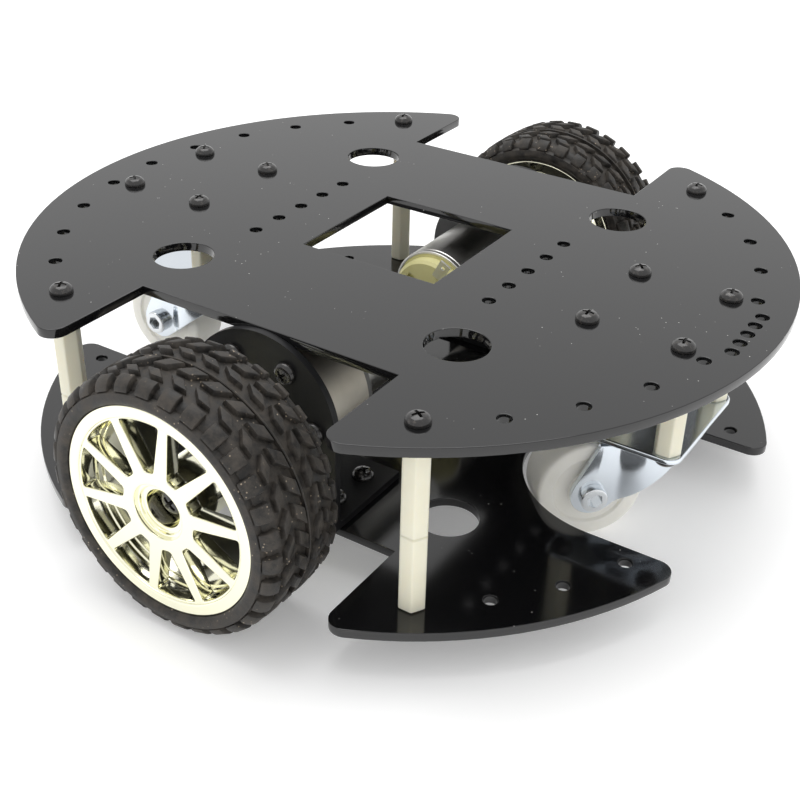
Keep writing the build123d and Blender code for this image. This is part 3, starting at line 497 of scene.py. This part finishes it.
def tidy_loop(loop):
    """Makes a loop that is a circle a finer, exact one."""
    cx = (min(p[0] for p in loop) + max(p[0] for p in loop)) / 2
    cy = (min(p[1] for p in loop) + max(p[1] for p in loop)) / 2
    radii = [math.hypot(p[0] - cx, p[1] - cy) for p in loop]
    if len(loop) > 7 and max(radii) - min(radii) < 0.02:
        return circle(max(radii), (cx, cy), 96 if max(radii) > 5 else 40)
    return loop


def islands(node):
    """The boxes of the separate solids of a CAD node, in millimetres, as (lowest, highest) corners."""
    mesh = nodes[node].data
    parent = {}

    def find(key):
        while parent[key] != key:
            parent[key] = parent[parent[key]]
            key = parent[key]
        return key

    keys = [tuple(round(c / MM, 2) for c in v.co) for v in mesh.vertices]
    for key in keys:
        parent.setdefault(key, key)
    for polygon in mesh.polygons:
        first = find(keys[polygon.vertices[0]])
        for i in polygon.vertices[1:]:
            parent[find(keys[i])] = first
    groups = {}
    for key in parent:
        groups.setdefault(find(key), []).append(Vector(key))
    boxes = []
    for members in groups.values():
        low = Vector(min(v[i] for v in members) for i in range(3))
        high = Vector(max(v[i] for v in members) for i in range(3))
        boxes.append((low, high))
    return sorted(boxes, key=lambda b: (round(b[0].x), round(b[0].y), round(b[0].z)))


def cut(piece, cutter):
    """Takes the cutter's shape out of the piece."""
    modifier = piece.modifiers.new("cut", "BOOLEAN")
    modifier.operation = "DIFFERENCE"
    modifier.solver = "EXACT"
    modifier.object = cutter
    bpy.context.view_layer.update()
    evaluated = piece.evaluated_get(bpy.context.evaluated_depsgraph_get())
    mesh = bpy.data.meshes.new_from_object(evaluated)
    piece.modifiers.clear()
    piece.data = mesh
    bpy.data.objects.remove(cutter)
    return piece


def slab(bm, half_x, half_y, low, high, taper=1.0):
    """Adds a box whose bottom is tapered."""
    corners = [(-1, -1), (1, -1), (1, 1), (-1, 1)]
    top = [bm.verts.new((sx * half_x * MM, sy * half_y * MM, high * MM)) for sx, sy in corners]
    bottom = [bm.verts.new((sx * half_x * taper * MM, sy * half_y * taper * MM, low * MM))
              for sx, sy in corners]
    bm.faces.new(top)
    bm.faces.new(bottom[::-1])
    for i in range(4):
        j = (i + 1) % 4
        bm.faces.new((top[j], top[i], bottom[i], bottom[j]))


def aim(direction, spin, origin):
    """A matrix that turns +Z to a direction, turns about it, and moves to a place in millimetres."""
    turn = Vector((0, 0, 1)).rotation_difference(Vector(direction)).to_matrix().to_4x4()
    return Matrix.Translation(Vector(origin) * MM) @ turn @ Matrix.Rotation(spin, 4, "Z")


def pan_head_mesh(radius, height, shank, reach):
    """A cross-recess pan head on a plain shank, its seat at the origin and its head along +Z."""
    outline = soften(
        [(-reach, 0.0), (-reach, shank), (0.0, shank), (0.0, radius), (height * 0.45, radius * 0.985),
         (height * 0.86, radius * 0.72), (height, radius * 0.3), (height, 0.0)],
        [0, 0, 0, 0.12, radius * 0.5, radius * 0.6, radius * 0.5, 0], 5)
    head = lathe("head", outline, (0, 0, 0), (0, 0, 1), 56, (SCREW,))
    for half_x, half_y in ((0.6, 0.135), (0.135, 0.6)):
        bm = bmesh.new()
        slab(bm, radius * half_x, radius * half_y, height * 0.25, height * 1.2, 0.45)
        cut(head, from_bmesh("cutter", bm))
    smooth(head, 38)
    return head


# Pan heads as (head radius, head height, shank radius).
M3_PAN = (2.9, 2.15, 1.45)
WHEEL_PAN = (3.7, 2.9, 1.95)
CAD_HEAD = 2.2
M3_REACH = 8.0


def screw_set(name, node, body, direction, size, seat, reach):
    """Puts one detailed screw on each solid of a CAD screw node. seat(box) gives where the head sits."""
    head = pan_head_mesh(*size, reach)
    copies = []
    for low, high in islands(node):
        copy = make_object("copy", head.data.copy())
        copy.matrix_world = aim(direction, rng.uniform(0, math.pi / 2), seat(low, high))
        copies.append(copy)
    bpy.context.view_layer.update()
    bpy.data.objects.remove(head)
    piece = join(name, copies)
    paint(piece, SCREW)
    smooth(piece, 38)
    return finish_piece(piece, body, "black_screw", node)


def seat_under(low, high):
    """Where the head of a screw that points down sits."""
    return (low.x + high.x) / 2, (low.y + high.y) / 2, high.z - CAD_HEAD


def seat_over(low, high):
    """Where the head of a screw that points up sits."""
    return (low.x + high.x) / 2, (low.y + high.y) / 2, low.z + CAD_HEAD


# ---------------------------------------------------------------- decks
def deck(name, node):
    loops = [tidy_loop([(x, y) for x, y, z in loop]) for loop in face_loops(node, (0, 0, 1))]
    low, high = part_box(node)
    piece = sheet_plate(
        name, loops, (0, 0, low.z / MM), (1, 0, 0), (0, 1, 0), (high.z - low.z) / MM, 0.18, (BLACK, EDGE))
    return finish_piece(piece, "chassis", "black_acrylic", node)


deck("upper_deck", "top_deck")
deck("lower_deck", "bottom_deck")


# ---------------------------------------------------------------- standoffs and deck screws
POST_FLATS = 6.0
UPPER_POST = 25.5
LOWER_POST = 20.5
STUD_RADIUS = 1.45
STUD_SIDES = 24


def hex_post(bm, x, y, low, high, chamfer):
    """A hexagonal post whose ends are turned down to a small cone."""
    radius = POST_FLATS / 2 / math.cos(math.pi / 6)
    levels = [(low, radius - chamfer), (low + chamfer * 0.8, radius), (high - chamfer * 0.8, radius),
              (high, radius - chamfer)]
    rings = []
    for z, r in levels:
        corners = [(r * math.cos(math.pi / 3 * i), r * math.sin(math.pi / 3 * i)) for i in range(6)]
        outline = soften(corners, 0.7, 4)
        rings.append([bm.verts.new(((x + p.x) * MM, (y + p.y) * MM, z * MM)) for p in outline])
    for a, b in zip(rings, rings[1:]):
        for i in range(len(a)):
            j = (i + 1) % len(a)
            bm.faces.new((a[i], a[j], b[j], b[i]))
    bm.faces.new(rings[0][::-1])
    bm.faces.new(rings[-1])


def posts(name, node, length, chamfer):
    bm = bmesh.new()
    for low, high in islands(node):
        middle = (low + high) / 2
        hex_post(bm, middle.x, middle.y, high.z - length, high.z, chamfer)
        if high.z - low.z > length + 1:
            stud = circle(STUD_RADIUS, (middle.x, middle.y), STUD_SIDES)
            bottom = [bm.verts.new((x * MM, y * MM, low.z * MM)) for x, y in stud]
            top = [bm.verts.new((x * MM, y * MM, (high.z - length + 0.5) * MM)) for x, y in stud]
            bm.faces.new(bottom[::-1])
            bm.faces.new(top)
            for i in range(STUD_SIDES):
                j = (i + 1) % STUD_SIDES
                bm.faces.new((bottom[i], bottom[j], top[j], top[i]))
    bmesh.ops.recalc_face_normals(bm, faces=bm.faces)
    piece = from_bmesh(name, bm)
    paint(piece, NYLON)
    smooth(piece, 25)
    return finish_piece(piece, "chassis", "white_nylon", node)


posts("upper_posts", "upper_standoffs", UPPER_POST, 0.35)
posts("lower_posts", "lower_standoffs", LOWER_POST, 0.5)
posts("caster_posts", "caster_standoffs", UPPER_POST, 0.35)

for node_name in ("column_top_screws", "caster_top_screws"):
    screw_set(node_name.replace("_screws", "_heads"), node_name, "chassis", (0, 0, 1), M3_PAN,
              seat_under, M3_REACH)
for node_name in ("column_bottom_screws", "caster_bottom_screws"):
    screw_set(node_name.replace("_screws", "_heads"), node_name, "chassis", (0, 0, -1), M3_PAN,
              seat_over, M3_REACH)
screw_set("bracket_heads", "bracket_screws", "chassis", (0, 0, 1), M3_PAN, seat_under, M3_REACH)


# ---------------------------------------------------------------- tyres
TREAD_DEPTH = 1.5
PITCHES = 31
FIRST_PITCH_TURN = 47.8
TYRE_MIDDLE = 89.0
TYRE_RADIUS = 33.0
AXLE_Z = 33.0
TREAD_SLICE = 0.8


def tyre_surface():
    """The tyre's outer surface from its middle to one bead, as (across, radius) points."""
    points = [(a, 32.95 - 0.35 * (a / 9.2) ** 2) for a in (0.0, 2.3, 4.6, 6.9, 9.2)]
    for i in range(1, 9):
        t = math.radians(i * 90 / 8)
        points.append((9.2 + 3.85 * math.sin(t), 28.9 + 3.7 * math.cos(t)))
    points += [(13.25, 28.2), (13.2, 27.5), (12.9, 26.9), (12.4, 26.5)]
    return points


SURFACE = tyre_surface()


def on_surface(u, depth):
    """A point at distance u along the surface from its middle, and depth under it: (across, radius)."""
    left = abs(u)
    sign = 1 if u >= 0 else -1
    for (a0, r0), (a1, r1) in zip(SURFACE, SURFACE[1:]):
        step = math.hypot(a1 - a0, r1 - r0)
        if left <= step or (a1, r1) == SURFACE[-1]:
            t = left / step
            normal = ((r0 - r1) / step, (a1 - a0) / step)
            across = a0 + (a1 - a0) * t - normal[0] * depth
            return sign * across, r0 + (r1 - r0) * t - normal[1] * depth
        left -= step


# Tread blocks of one pitch: corners as (distance round the tyre, distance across it), outer shoulder first.
BLOCKS = (
    ((-0.25, 9.3), (3.9, 9.3), (3.9, 14.2), (-0.25, 14.2)),
    ((0.0, 7.7), (3.4, 7.7), (0.5, 5.3), (-2.9, 5.3)),
    ((-3.25, 3.4), (0.4, 3.4), (3.4, 0.55), (-0.6, 0.55)),
    ((-0.5, -3.0), (3.25, -3.0), (0.6, -4.9), (-3.4, -4.9)),
    ((-2.9, -6.6), (0.6, -6.6), (3.4, -8.9), (-0.25, -8.9)),
    ((0.0, -10.2), (3.7, -10.2), (3.7, -14.2), (0.0, -14.2)),
)


def tread_block(bm, corners, start, side):
    """One block: a flat prism in (round, across, height), edges eased, then wrapped on the tyre."""
    block = bmesh.new()
    centre = Vector((sum(c[0] for c in corners) / 4, sum(c[1] for c in corners) / 4))
    top, foot = [], []
    for corner in corners:
        point = Vector(corner)
        flare = point + (point - centre).normalized() * 0.28
        top.append(block.verts.new((point.x, point.y, 0.0)))
        foot.append(block.verts.new((flare.x, flare.y, -TREAD_DEPTH - 0.25)))
    block.faces.new(top)
    block.faces.new(foot[::-1])
    for i in range(4):
        j = (i + 1) % 4
        block.faces.new((top[j], top[i], foot[i], foot[j]))
    bmesh.ops.recalc_face_normals(block, faces=block.faces)
    upper = [e for e in block.edges if all(v.co.z > -0.1 for v in e.verts)]
    uprights = [e for e in block.edges if (e.verts[0].co.z > -0.1) != (e.verts[1].co.z > -0.1)]
    bmesh.ops.bevel(block, geom=upper + uprights, offset=0.26, segments=2, profile=0.5, affect="EDGES")
    low = min(c[1] for c in corners)
    high = max(c[1] for c in corners)
    level = low + TREAD_SLICE
    while level < high - 0.3:
        bmesh.ops.bisect_plane(
            block, geom=block.verts[:] + block.edges[:] + block.faces[:],
            plane_co=(0, level, 0), plane_no=(0, 1, 0), dist=1e-5)
        level += TREAD_SLICE
    made = {}
    for vert in block.verts:
        across, radius = on_surface(vert.co.y, -vert.co.z)
        angle = start - vert.co.x / TYRE_RADIUS
        made[vert] = bm.verts.new((
            radius * math.cos(angle) * MM,
            side * (TYRE_MIDDLE + across) * MM,
            (AXLE_Z + radius * math.sin(angle)) * MM))
    for face in block.faces:
        shallow = max(-v.co.z for v in face.verts) < 0.5
        copy = bm.faces.new([made[v] for v in face.verts])
        # Top faces take the tread rubber; the deeper side faces take the near-black flank material, painted shade
        # for the shadow on the block walls.
        copy.material_index = 0 if shallow else 3
    block.free()


def tyre(name, side):
    skin = []
    for i in range(0, 41):
        u = i * 14.6 / 40
        skin.append(on_surface(u, TREAD_DEPTH if u < 13.6 else TREAD_DEPTH * max(0.0, (14.6 - u) / 1.0)))
    wall = [p for p in SURFACE if p[1] < 28.5]
    half = skin + wall
    outline = [(-a, r) for a, r in reversed(half)] + half[1:]
    outline += [(11.2, 26.45), (10.1, 24.9), (-10.0, 24.9), (-11.1, 25.85), (-12.3, 25.85)]

    def pick(k):
        across, radius = outline[k]
        # Index 1 is the groove floor, coloured with dust and painted light; index 2 is the sidewall.
        return 1 if radius > 29.2 and abs(across) < 12.6 else 2

    carcass = lathe("carcass", [(TYRE_MIDDLE + a, r) for a, r in outline], (0, 0, AXLE_Z), (0, side, 0), 248,
                    (TREAD, GROOVE_DUST_AND_LIGHT, WALL), pick)
    bm = bmesh.new()
    for index in range(PITCHES):
        start = math.radians(FIRST_PITCH_TURN) + 2 * math.pi * index / PITCHES
        for corners in BLOCKS:
            tread_block(bm, corners, start, side)
    if side > 0:
        bmesh.ops.reverse_faces(bm, faces=bm.faces)
    blocks = from_bmesh("blocks", bm)
    paint(blocks, TREAD, GROOVE_DUST_AND_LIGHT, WALL, PAINTED_SHADE_FLANK)
    rib_outline = ((-0.1, 31.3), (-0.1, 32.5), (-0.3, 32.65), (-0.6, 32.5), (-0.6, 31.3))
    rib = lathe("rib", [(TYRE_MIDDLE + a, r) for a, r in rib_outline], (0, 0, AXLE_Z), (0, side, 0), 248,
                (TREAD,))
    piece = join(name, [carcass, blocks, rib])
    smooth(piece, 35)
    return piece


for side_name, side in SIDES:
    finish_piece(tyre(f"treaded_tyre_{side_name}", side), f"{side_name}_wheel", "tyre_rubber",
                 f"tyre_{side_name}")


# ---------------------------------------------------------------- rims
SPOKES = 10
FIRST_SPOKE_TURN = 8.7
WINDOW_REACH = 22.9
WEB_START = 97.0
WEB_THICKNESS = 4.0
RIM_FACE = 101.4
HUB_SEAT = 94.3
BRACKET_FACE = 64.0


def spoke_window(index):
    """The gap between two spokes, rounded at its inner end."""
    half_pitch = math.pi / SPOKES
    corners = []
    for radius, half in ((10.0, 1.9), (24.6, 1.2)):
        corners.append((radius * math.cos(half_pitch) + half * math.sin(half_pitch),
                        radius * math.sin(half_pitch) - half * math.cos(half_pitch)))
    (rx, ry), (tx, ty) = corners
    turn = math.radians(FIRST_SPOKE_TURN) + half_pitch + index * 2 * half_pitch
    reach = WINDOW_REACH
    ratio = (reach - math.hypot(rx, ry)) / (math.hypot(tx, ty) - math.hypot(rx, ry))
    ex, ey = rx + (tx - rx) * ratio, ry + (ty - ry) * ratio
    tip = math.atan2(ey, ex)
    outline = [(rx, -ry), (ex, -ey)]
    for i in range(1, 8):
        a = -tip + 2 * tip * i / 8
        outline.append((reach * math.cos(a), reach * math.sin(a)))
    outline += [(ex, ey), (rx, ry)]
    radii = [1.1, 0.6] + [0] * 7 + [0.6, 1.1]
    rounded = soften(outline, radii, 5)
    c, s = math.cos(turn), math.sin(turn)
    return [(p.x * c - p.y * s, p.x * s + p.y * c) for p in rounded]


def rim(name, side):
    web = sheet_plate(
        "web",
        [circle(23.9, segments=160), circle(7.0, segments=72)] + [spoke_window(i) for i in range(SPOKES)],
        (0, side * WEB_START, AXLE_Z), (-side, 0, 0), (0, 0, 1), WEB_THICKNESS, 0.32, (CHROME,), 4)
    profile = [(76.4, 22.6), (76.4, 25.8), (78.0, 25.8), (79.0, 24.8), (98.8, 24.8), (99.8, 26.4),
               (RIM_FACE, 26.4), (RIM_FACE, 23.4), (100.2, 23.2), (99.7, 23.7), (97.8, 23.7), (97.5, 23.3),
               (96.2, 23.3), (95.9, 22.95),
               (94.6, 22.95), (94.3, 22.6)]
    radii = [0.4, 0.4, 0.3, 0.3, 0.3, 0.3, 0.5, 0.55, 0.3] + [0.2] * 7
    barrel = lathe("barrel", soften(profile, radii, 4), (0, 0, AXLE_Z), (0, side, 0), 192, (CHROME,))
    hub_profile = [(84.5, 7.0), (84.5, 8.2), (97.4, 8.2), (97.4, 7.4), (100.1, 7.4), (100.1, 6.2),
                   (99.3, 6.0),
                   (99.3, 4.8), (HUB_SEAT, 4.6), (HUB_SEAT, 2.1), (91.0, 2.1), (91.0, 7.0)]
    hub_radii = [0.2, 0.3, 0, 0, 0.25, 0.3, 0.2, 0.4, 0.2, 0, 0, 0]
    hub = lathe("hub", soften(hub_profile, hub_radii, 4), (0, 0, AXLE_Z), (0, side, 0), 96, (CHROME,))
    piece = join(name, [web, barrel, hub])
    smooth(piece, 40)
    flatten(piece.data, Vector((0, 1, 0)))
    return piece


for side_name, side in SIDES:
    finish_piece(rim(f"spoked_rim_{side_name}", side), f"{side_name}_wheel", "plated_rim", f"rim_{side_name}")
    screw_set(f"wheel_screw_head_{side_name}", f"wheel_screw_{side_name}", f"{side_name}_wheel", (0, side, 0),
              WHEEL_PAN, lambda low, high, s=side: (0, s * HUB_SEAT, AXLE_Z), 9.0)
    screw_set(f"motor_heads_{side_name}", f"motor_screws_{side_name}", "chassis", (0, side, 0), M3_PAN,
              lambda low, high, s=side: ((low.x + high.x) / 2, s * BRACKET_FACE, (low.z + high.z) / 2), 3.6)


# ---------------------------------------------------------------- motor cans
MOTOR_Z = 40.0
CAN_RADII = [0.1, 0.3, 0.15, 0.15, 0.15, 1.3, 0.2, 0.1, 0.3]

for side_name, side in SIDES:
    low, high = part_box(f"motor_can_{side_name}")
    back, length = min(abs(low.y), abs(high.y)) / MM, (high.y - low.y) / MM
    shell = [(0, 11.4), (0, 12.2), (1.2, 12.2), (1.5, 12.05), (1.8, 12.2), (length, 12.2), (length, 1.1),
             (length - 2.0, 1.1), (length - 2.0, 11.4)]
    can = lathe("can", soften(shell, CAN_RADII, 4), (0, side * back, MOTOR_Z), (0, side, 0), 96, (CAN,))
    finish_piece(join(f"drawn_can_{side_name}", [can]), "chassis", "motor_steel", f"motor_can_{side_name}")


# ---------------------------------------------------------------- casters
CASTER_X = 71.4
CASTER_AXLE_Z = 14.0
TRAIL = 14.25
HEADINGS = {"front": 222.0, "rear": 180.0}
FORK_T = 1.4
FORK_TIP = 5.6
FORK_HALF = 8.0
FORK_FILLET = 3.0
FORK_SHOULDER = 13.4
CROWN_RADIUS = 11.0
CROWN_LOW = 28.7
# Where the straight edges of a fork leg start and end, as (along the trail, height).
LEG_LOWER = ((10.76, 9.62), (-8.6, 25.1))
LEG_UPPER = (19.3, 16.43)


def fork_plan():
    """Half of the fork's outer outline from above, leg tip first: (along the trail, across)."""
    tip_turns = (4, 9, 15, 22, 30, 38, 47, 56, 65, 74, 82, 90)
    points = [(TRAIL + FORK_TIP * math.cos(math.radians(a)), FORK_HALF) for a in tip_turns]
    points += [(t, FORK_HALF) for t in (13.4, 12.6, 11.8, 11.0, 10.2, 9.4)]
    fillet_y = FORK_HALF + FORK_FILLET
    reach = math.sqrt((CROWN_RADIUS + FORK_FILLET) ** 2 - fillet_y ** 2)
    stop = math.degrees(math.atan2(fillet_y, reach))
    for i in range(9):
        a = math.radians(-90 - (90 - stop) * i / 8)
        points.append((reach + FORK_FILLET * math.cos(a), fillet_y + FORK_FILLET * math.sin(a)))
    for i in range(1, 25):
        a = math.radians(stop + (180 - stop) * i / 24)
        points.append((CROWN_RADIUS * math.cos(a), CROWN_RADIUS * math.sin(a)))
    return points


def between(value, low, high):
    """Rises smoothly from 0 to 1 while the value goes from low to high."""
    t = min(1.0, max(0.0, (value - low) / (high - low)))
    return t * t * (3 - 2 * t)


def fork_heights(t):
    """Lower and upper edge of the sheet, and how far it has turned into the crown."""
    half = math.sqrt(max(0.0, FORK_TIP ** 2 - (t - TRAIL) ** 2))
    (low_t, low_z), (back_t, back_z) = LEG_LOWER
    up_t, up_z = LEG_UPPER
    slope = (back_z - low_z) / (back_t - low_t)
    low = CASTER_AXLE_Z - half if t > low_t else low_z + slope * (t - low_t)
    crown = 1 - between(t, 7.2, 10.6)
    if t > up_t:
        high = CASTER_AXLE_Z + half
    else:
        high = CROWN_LOW + (up_z - CROWN_LOW) * max(0.0, t - FORK_SHOULDER) / (up_t - FORK_SHOULDER)
    return low, high + FORK_T * crown, crown


def fork(name, place_x, heading):
    trail = Vector((math.cos(math.radians(heading)), math.sin(math.radians(heading)), 0))
    across = Vector((-trail.y, trail.x, 0))
    half = fork_plan()
    plan = half + [(t, -w) for t, w in reversed(half[:-1])]
    bm = bmesh.new()
    rings = []
    for i, (t, w) in enumerate(plan):
        ahead, before = Vector(plan[min(i + 1, len(plan) - 1)]), Vector(plan[max(i - 1, 0)])
        step = (ahead - before).normalized()
        inward = Vector((-step.y, step.x))
        low, high, crown = fork_heights(t)
        bend = 0.25 + 0.95 * crown
        eased = min(0.2, (high - low) * 0.2)
        section = [(FORK_T - eased, low), (eased, low), (0.0, low + eased)]
        for k in range(6):
            a = math.pi / 2 * k / 5
            base = max(low + eased, high - bend)
            rise = min(bend, high - low - eased)
            section.append((bend * (1 - math.cos(a)), base + rise * math.sin(a)))
        section += [(FORK_T, high - 0.02), (FORK_T, low + eased)]
        ring = []
        for depth, z in section:
            spot = Vector((t, w)) + inward * depth
            place = Vector((place_x, 0, 0)) + trail * spot.x + across * spot.y + Vector((0, 0, z))
            ring.append(bm.verts.new(place * MM))
        rings.append(ring)
    for a, b in zip(rings, rings[1:]):
        for i in range(len(a)):
            j = (i + 1) % len(a)
            bm.faces.new((a[i], a[j], b[j], b[i]))
    bm.faces.new(rings[0])
    bm.faces.new(rings[-1][::-1])
    bmesh.ops.recalc_face_normals(bm, faces=bm.faces)
    wall = from_bmesh("wall", bm)
    paint(wall, ZINC)
    disc = [(CROWN_LOW, 2.6), (CROWN_LOW, 10.8), (30.1, 10.8), (30.1, 2.6)]
    crown = lathe("crown", soften(disc, [0, 0.15, 1.2, 0.2], 6), (place_x, 0, 0), (0, 0, 1), 96, (ZINC,))
    piece = join(name, [wall, crown])
    smooth(piece, 34)
    return piece


def base_plate(name, node, place_x):
    outlines = [tidy_loop([(x, y) for x, y, z in loop]) for loop in face_loops(node, (0, 0, 1))]
    sheet = sheet_plate("sheet", outlines, (0, 0, 32.5), (1, 0, 0), (0, 1, 0), 1.5, 0.35, (ZINC,), 3)
    ring = [(31.1, 9.4), (31.1, 11.0), (32.6, 11.0), (32.6, 9.4)]
    race = lathe("race", soften(ring, [0.3, 0.6, 0, 0], 4), (place_x, 0, 0), (0, 0, 1), 96, (ZINC,))
    piece = join(name, [sheet, race])
    smooth(piece, 40)
    flatten(piece.data, Vector((0, 0, 1)))
    return piece


def socket_bolt(name, hub, outward):
    """The axle bolt: a round head with a hexagonal socket, and a plain shank."""
    outline = [(-19.4, 0.0), (-19.4, 2.4), (0.0, 2.4), (0.0, 3.5), (2.4, 3.5), (2.4, 0.0)]
    radii = [0, 0.4, 0, 0.15, 0.55, 0]
    bolt = lathe("bolt", soften(outline, radii, 5), (0, 0, 0), (0, 0, 1), 72, (ZINC_SCREW,))
    bm = bmesh.new()
    mouth = [bm.verts.new((x * MM, y * MM, 3.0 * MM)) for x, y in circle(2.2, segments=6)]
    floor = [bm.verts.new((x * MM, y * MM, 0.5 * MM)) for x, y in circle(2.2, segments=6)]
    bm.faces.new(mouth)
    bm.faces.new(floor[::-1])
    for i in range(6):
        bm.faces.new((mouth[(i + 1) % 6], mouth[i], floor[i], floor[(i + 1) % 6]))
    cut(bolt, from_bmesh("socket", bm))
    # The socket's inside faces take the black screw material: painted shade for the dark recess, not the bolt's
    # own finish.
    paint(bolt, ZINC_SCREW, SCREW)
    for polygon in bolt.data.polygons:
        middle = polygon.center / MM
        socket_painted_shade = math.hypot(middle.x, middle.y) < 2.15 and 0.4 < middle.z < 2.38
        polygon.material_index = 1 if socket_painted_shade else 0
    bolt.matrix_world = aim(outward, 0.3, hub + outward * FORK_HALF)
    bpy.context.view_layer.update()
    piece = join(name, [bolt])
    smooth(piece, 34)
    return piece


def roller(name, hub, axle):
    """The nylon wheel: an eased, slightly crowned tread, a dished face and a moulded hub ring."""
    profile = [(3.6, 13.92), (6.0, 13.7), (6.0, 9.8), (5.2, 9.4), (5.2, 5.6), (6.0, 5.2), (6.0, 2.5)]
    rounded = soften(profile, [0, 1.6, 0.4, 0.4, 0.4, 0.3, 0], 5)
    outline = [(-a, r) for a, r in reversed(rounded)] + rounded
    wheel = lathe(name, outline, hub, axle, 128, (CASTER,))
    return join(name, [wheel])


for end_name, end in ENDS:
    place_x = end * CASTER_X
    heading = HEADINGS[end_name]
    trail = Vector((math.cos(math.radians(heading)), math.sin(math.radians(heading)), 0))
    across = Vector((-trail.y, trail.x, 0))
    if across.y > 0:
        across.negate()
    hub = Vector((place_x, 0, CASTER_AXLE_Z)) + trail * TRAIL
    body = f"{end_name}_caster_fork"
    finish_piece(fork(f"pressed_fork_{end_name}", place_x, heading), body, "zinc_sheet", f"caster_fork_{end_name}")
    finish_piece(base_plate(f"pressed_plate_{end_name}", f"caster_base_plate_{end_name}", place_x), "chassis",
                 "zinc_sheet", f"caster_base_plate_{end_name}")
    finish_piece(socket_bolt(f"socket_bolt_{end_name}", hub, across), body, "zinc_screw",
                 f"caster_axle_bolt_{end_name}")
    finish_piece(roller(f"nylon_roller_{end_name}", hub, across), f"{end_name}_caster_wheel", "caster_nylon",
                 f"caster_wheel_{end_name}")


# ---------------------------------------------------------------- CAD pieces that keep their shape
KEEP = {"bracket_nuts": SCREW}
for side_name, side in SIDES:
    KEEP.update({
        f"motor_bracket_{side_name}": COAT,
        f"gearbox_housing_{side_name}": GEARBOX,
        f"gearbox_cover_{side_name}": COVER,
        f"idler_pin_{side_name}": STEEL,
        f"motor_magnets_{side_name}": MAGNET,
        f"motor_end_cap_{side_name}": CREAM,
        f"motor_terminals_{side_name}": TIN,
        f"output_shaft_{side_name}": STEEL,
        f"idler_gear_{side_name}": STEEL,
        f"rotor_{side_name}": STEEL,
        f"hex_coupling_{side_name}": STEEL,
        f"coupling_set_screw_{side_name}": SCREW,
    })
for end_name, end in ENDS:
    KEEP.update({
        f"caster_kingpin_{end_name}": ZINC,
        f"caster_balls_{end_name}": BEARING,
        f"caster_axle_nut_{end_name}": ZINC_SCREW,
    })
for node_name, material in KEEP.items():
    paint(nodes[node_name], material)


# ---------------------------------------------------------------- studio
def studio():
    bm = bmesh.new()
    bmesh.ops.create_grid(bm, x_segments=24, y_segments=24, size=3.0)
    floor = from_bmesh("floor", bm)
    paint(floor, PAINT)
    world = bpy.data.worlds.new("studio")
    bpy.context.scene.world = world
    world.use_nodes = True
    background = world.node_tree.nodes["Background"]
    background.inputs["Color"].default_value = (1.0, 1.0, 1.0, 1.0)
    background.inputs["Strength"].default_value = 0.95
    lamp = bpy.data.lights.new("overhead", "AREA")
    lamp.shape = "RECTANGLE"
    lamp.size = 1.2
    lamp.size_y = 1.0
    lamp.energy = 9.0
    holder = bpy.data.objects.new("overhead", lamp)
    holder.location = (-0.25, 0.15, 1.3)
    bpy.context.scene.collection.objects.link(holder)
    holder.rotation_euler = (Vector((0, 0, 0)) - holder.location).to_track_quat("-Z", "Y").to_euler()


def camera():
    """The camera, set by its heading, its height angle and its small roll."""
    heading, tilt, roll = math.radians(32.189), math.radians(31.618), math.radians(1.477)
    back = Vector((math.sin(heading) * math.cos(tilt), -math.cos(heading) * math.cos(tilt), math.sin(tilt)))
    level = Vector((math.cos(heading), math.sin(heading), 0.0))
    upright = back.cross(level)
    right = level * math.cos(roll) + upright * math.sin(roll)
    up = upright * math.cos(roll) - level * math.sin(roll)
    lens = bpy.data.cameras.new("camera")
    lens.sensor_width = 36.0
    lens.lens = 56.4
    lens.clip_start = 0.01
    eye = bpy.data.objects.new("camera", lens)
    place = Vector((0.16162, -0.25919, 0.19907))
    eye.matrix_world = Matrix((
        (right.x, up.x, back.x, place.x),
        (right.y, up.y, back.y, place.y),
        (right.z, up.z, back.z, place.z),
        (0, 0, 0, 1),
    ))
    bpy.context.scene.collection.objects.link(eye)
    bpy.context.scene.camera = eye


studio()
camera()
bpy.context.scene.view_settings.view_transform = "Standard"
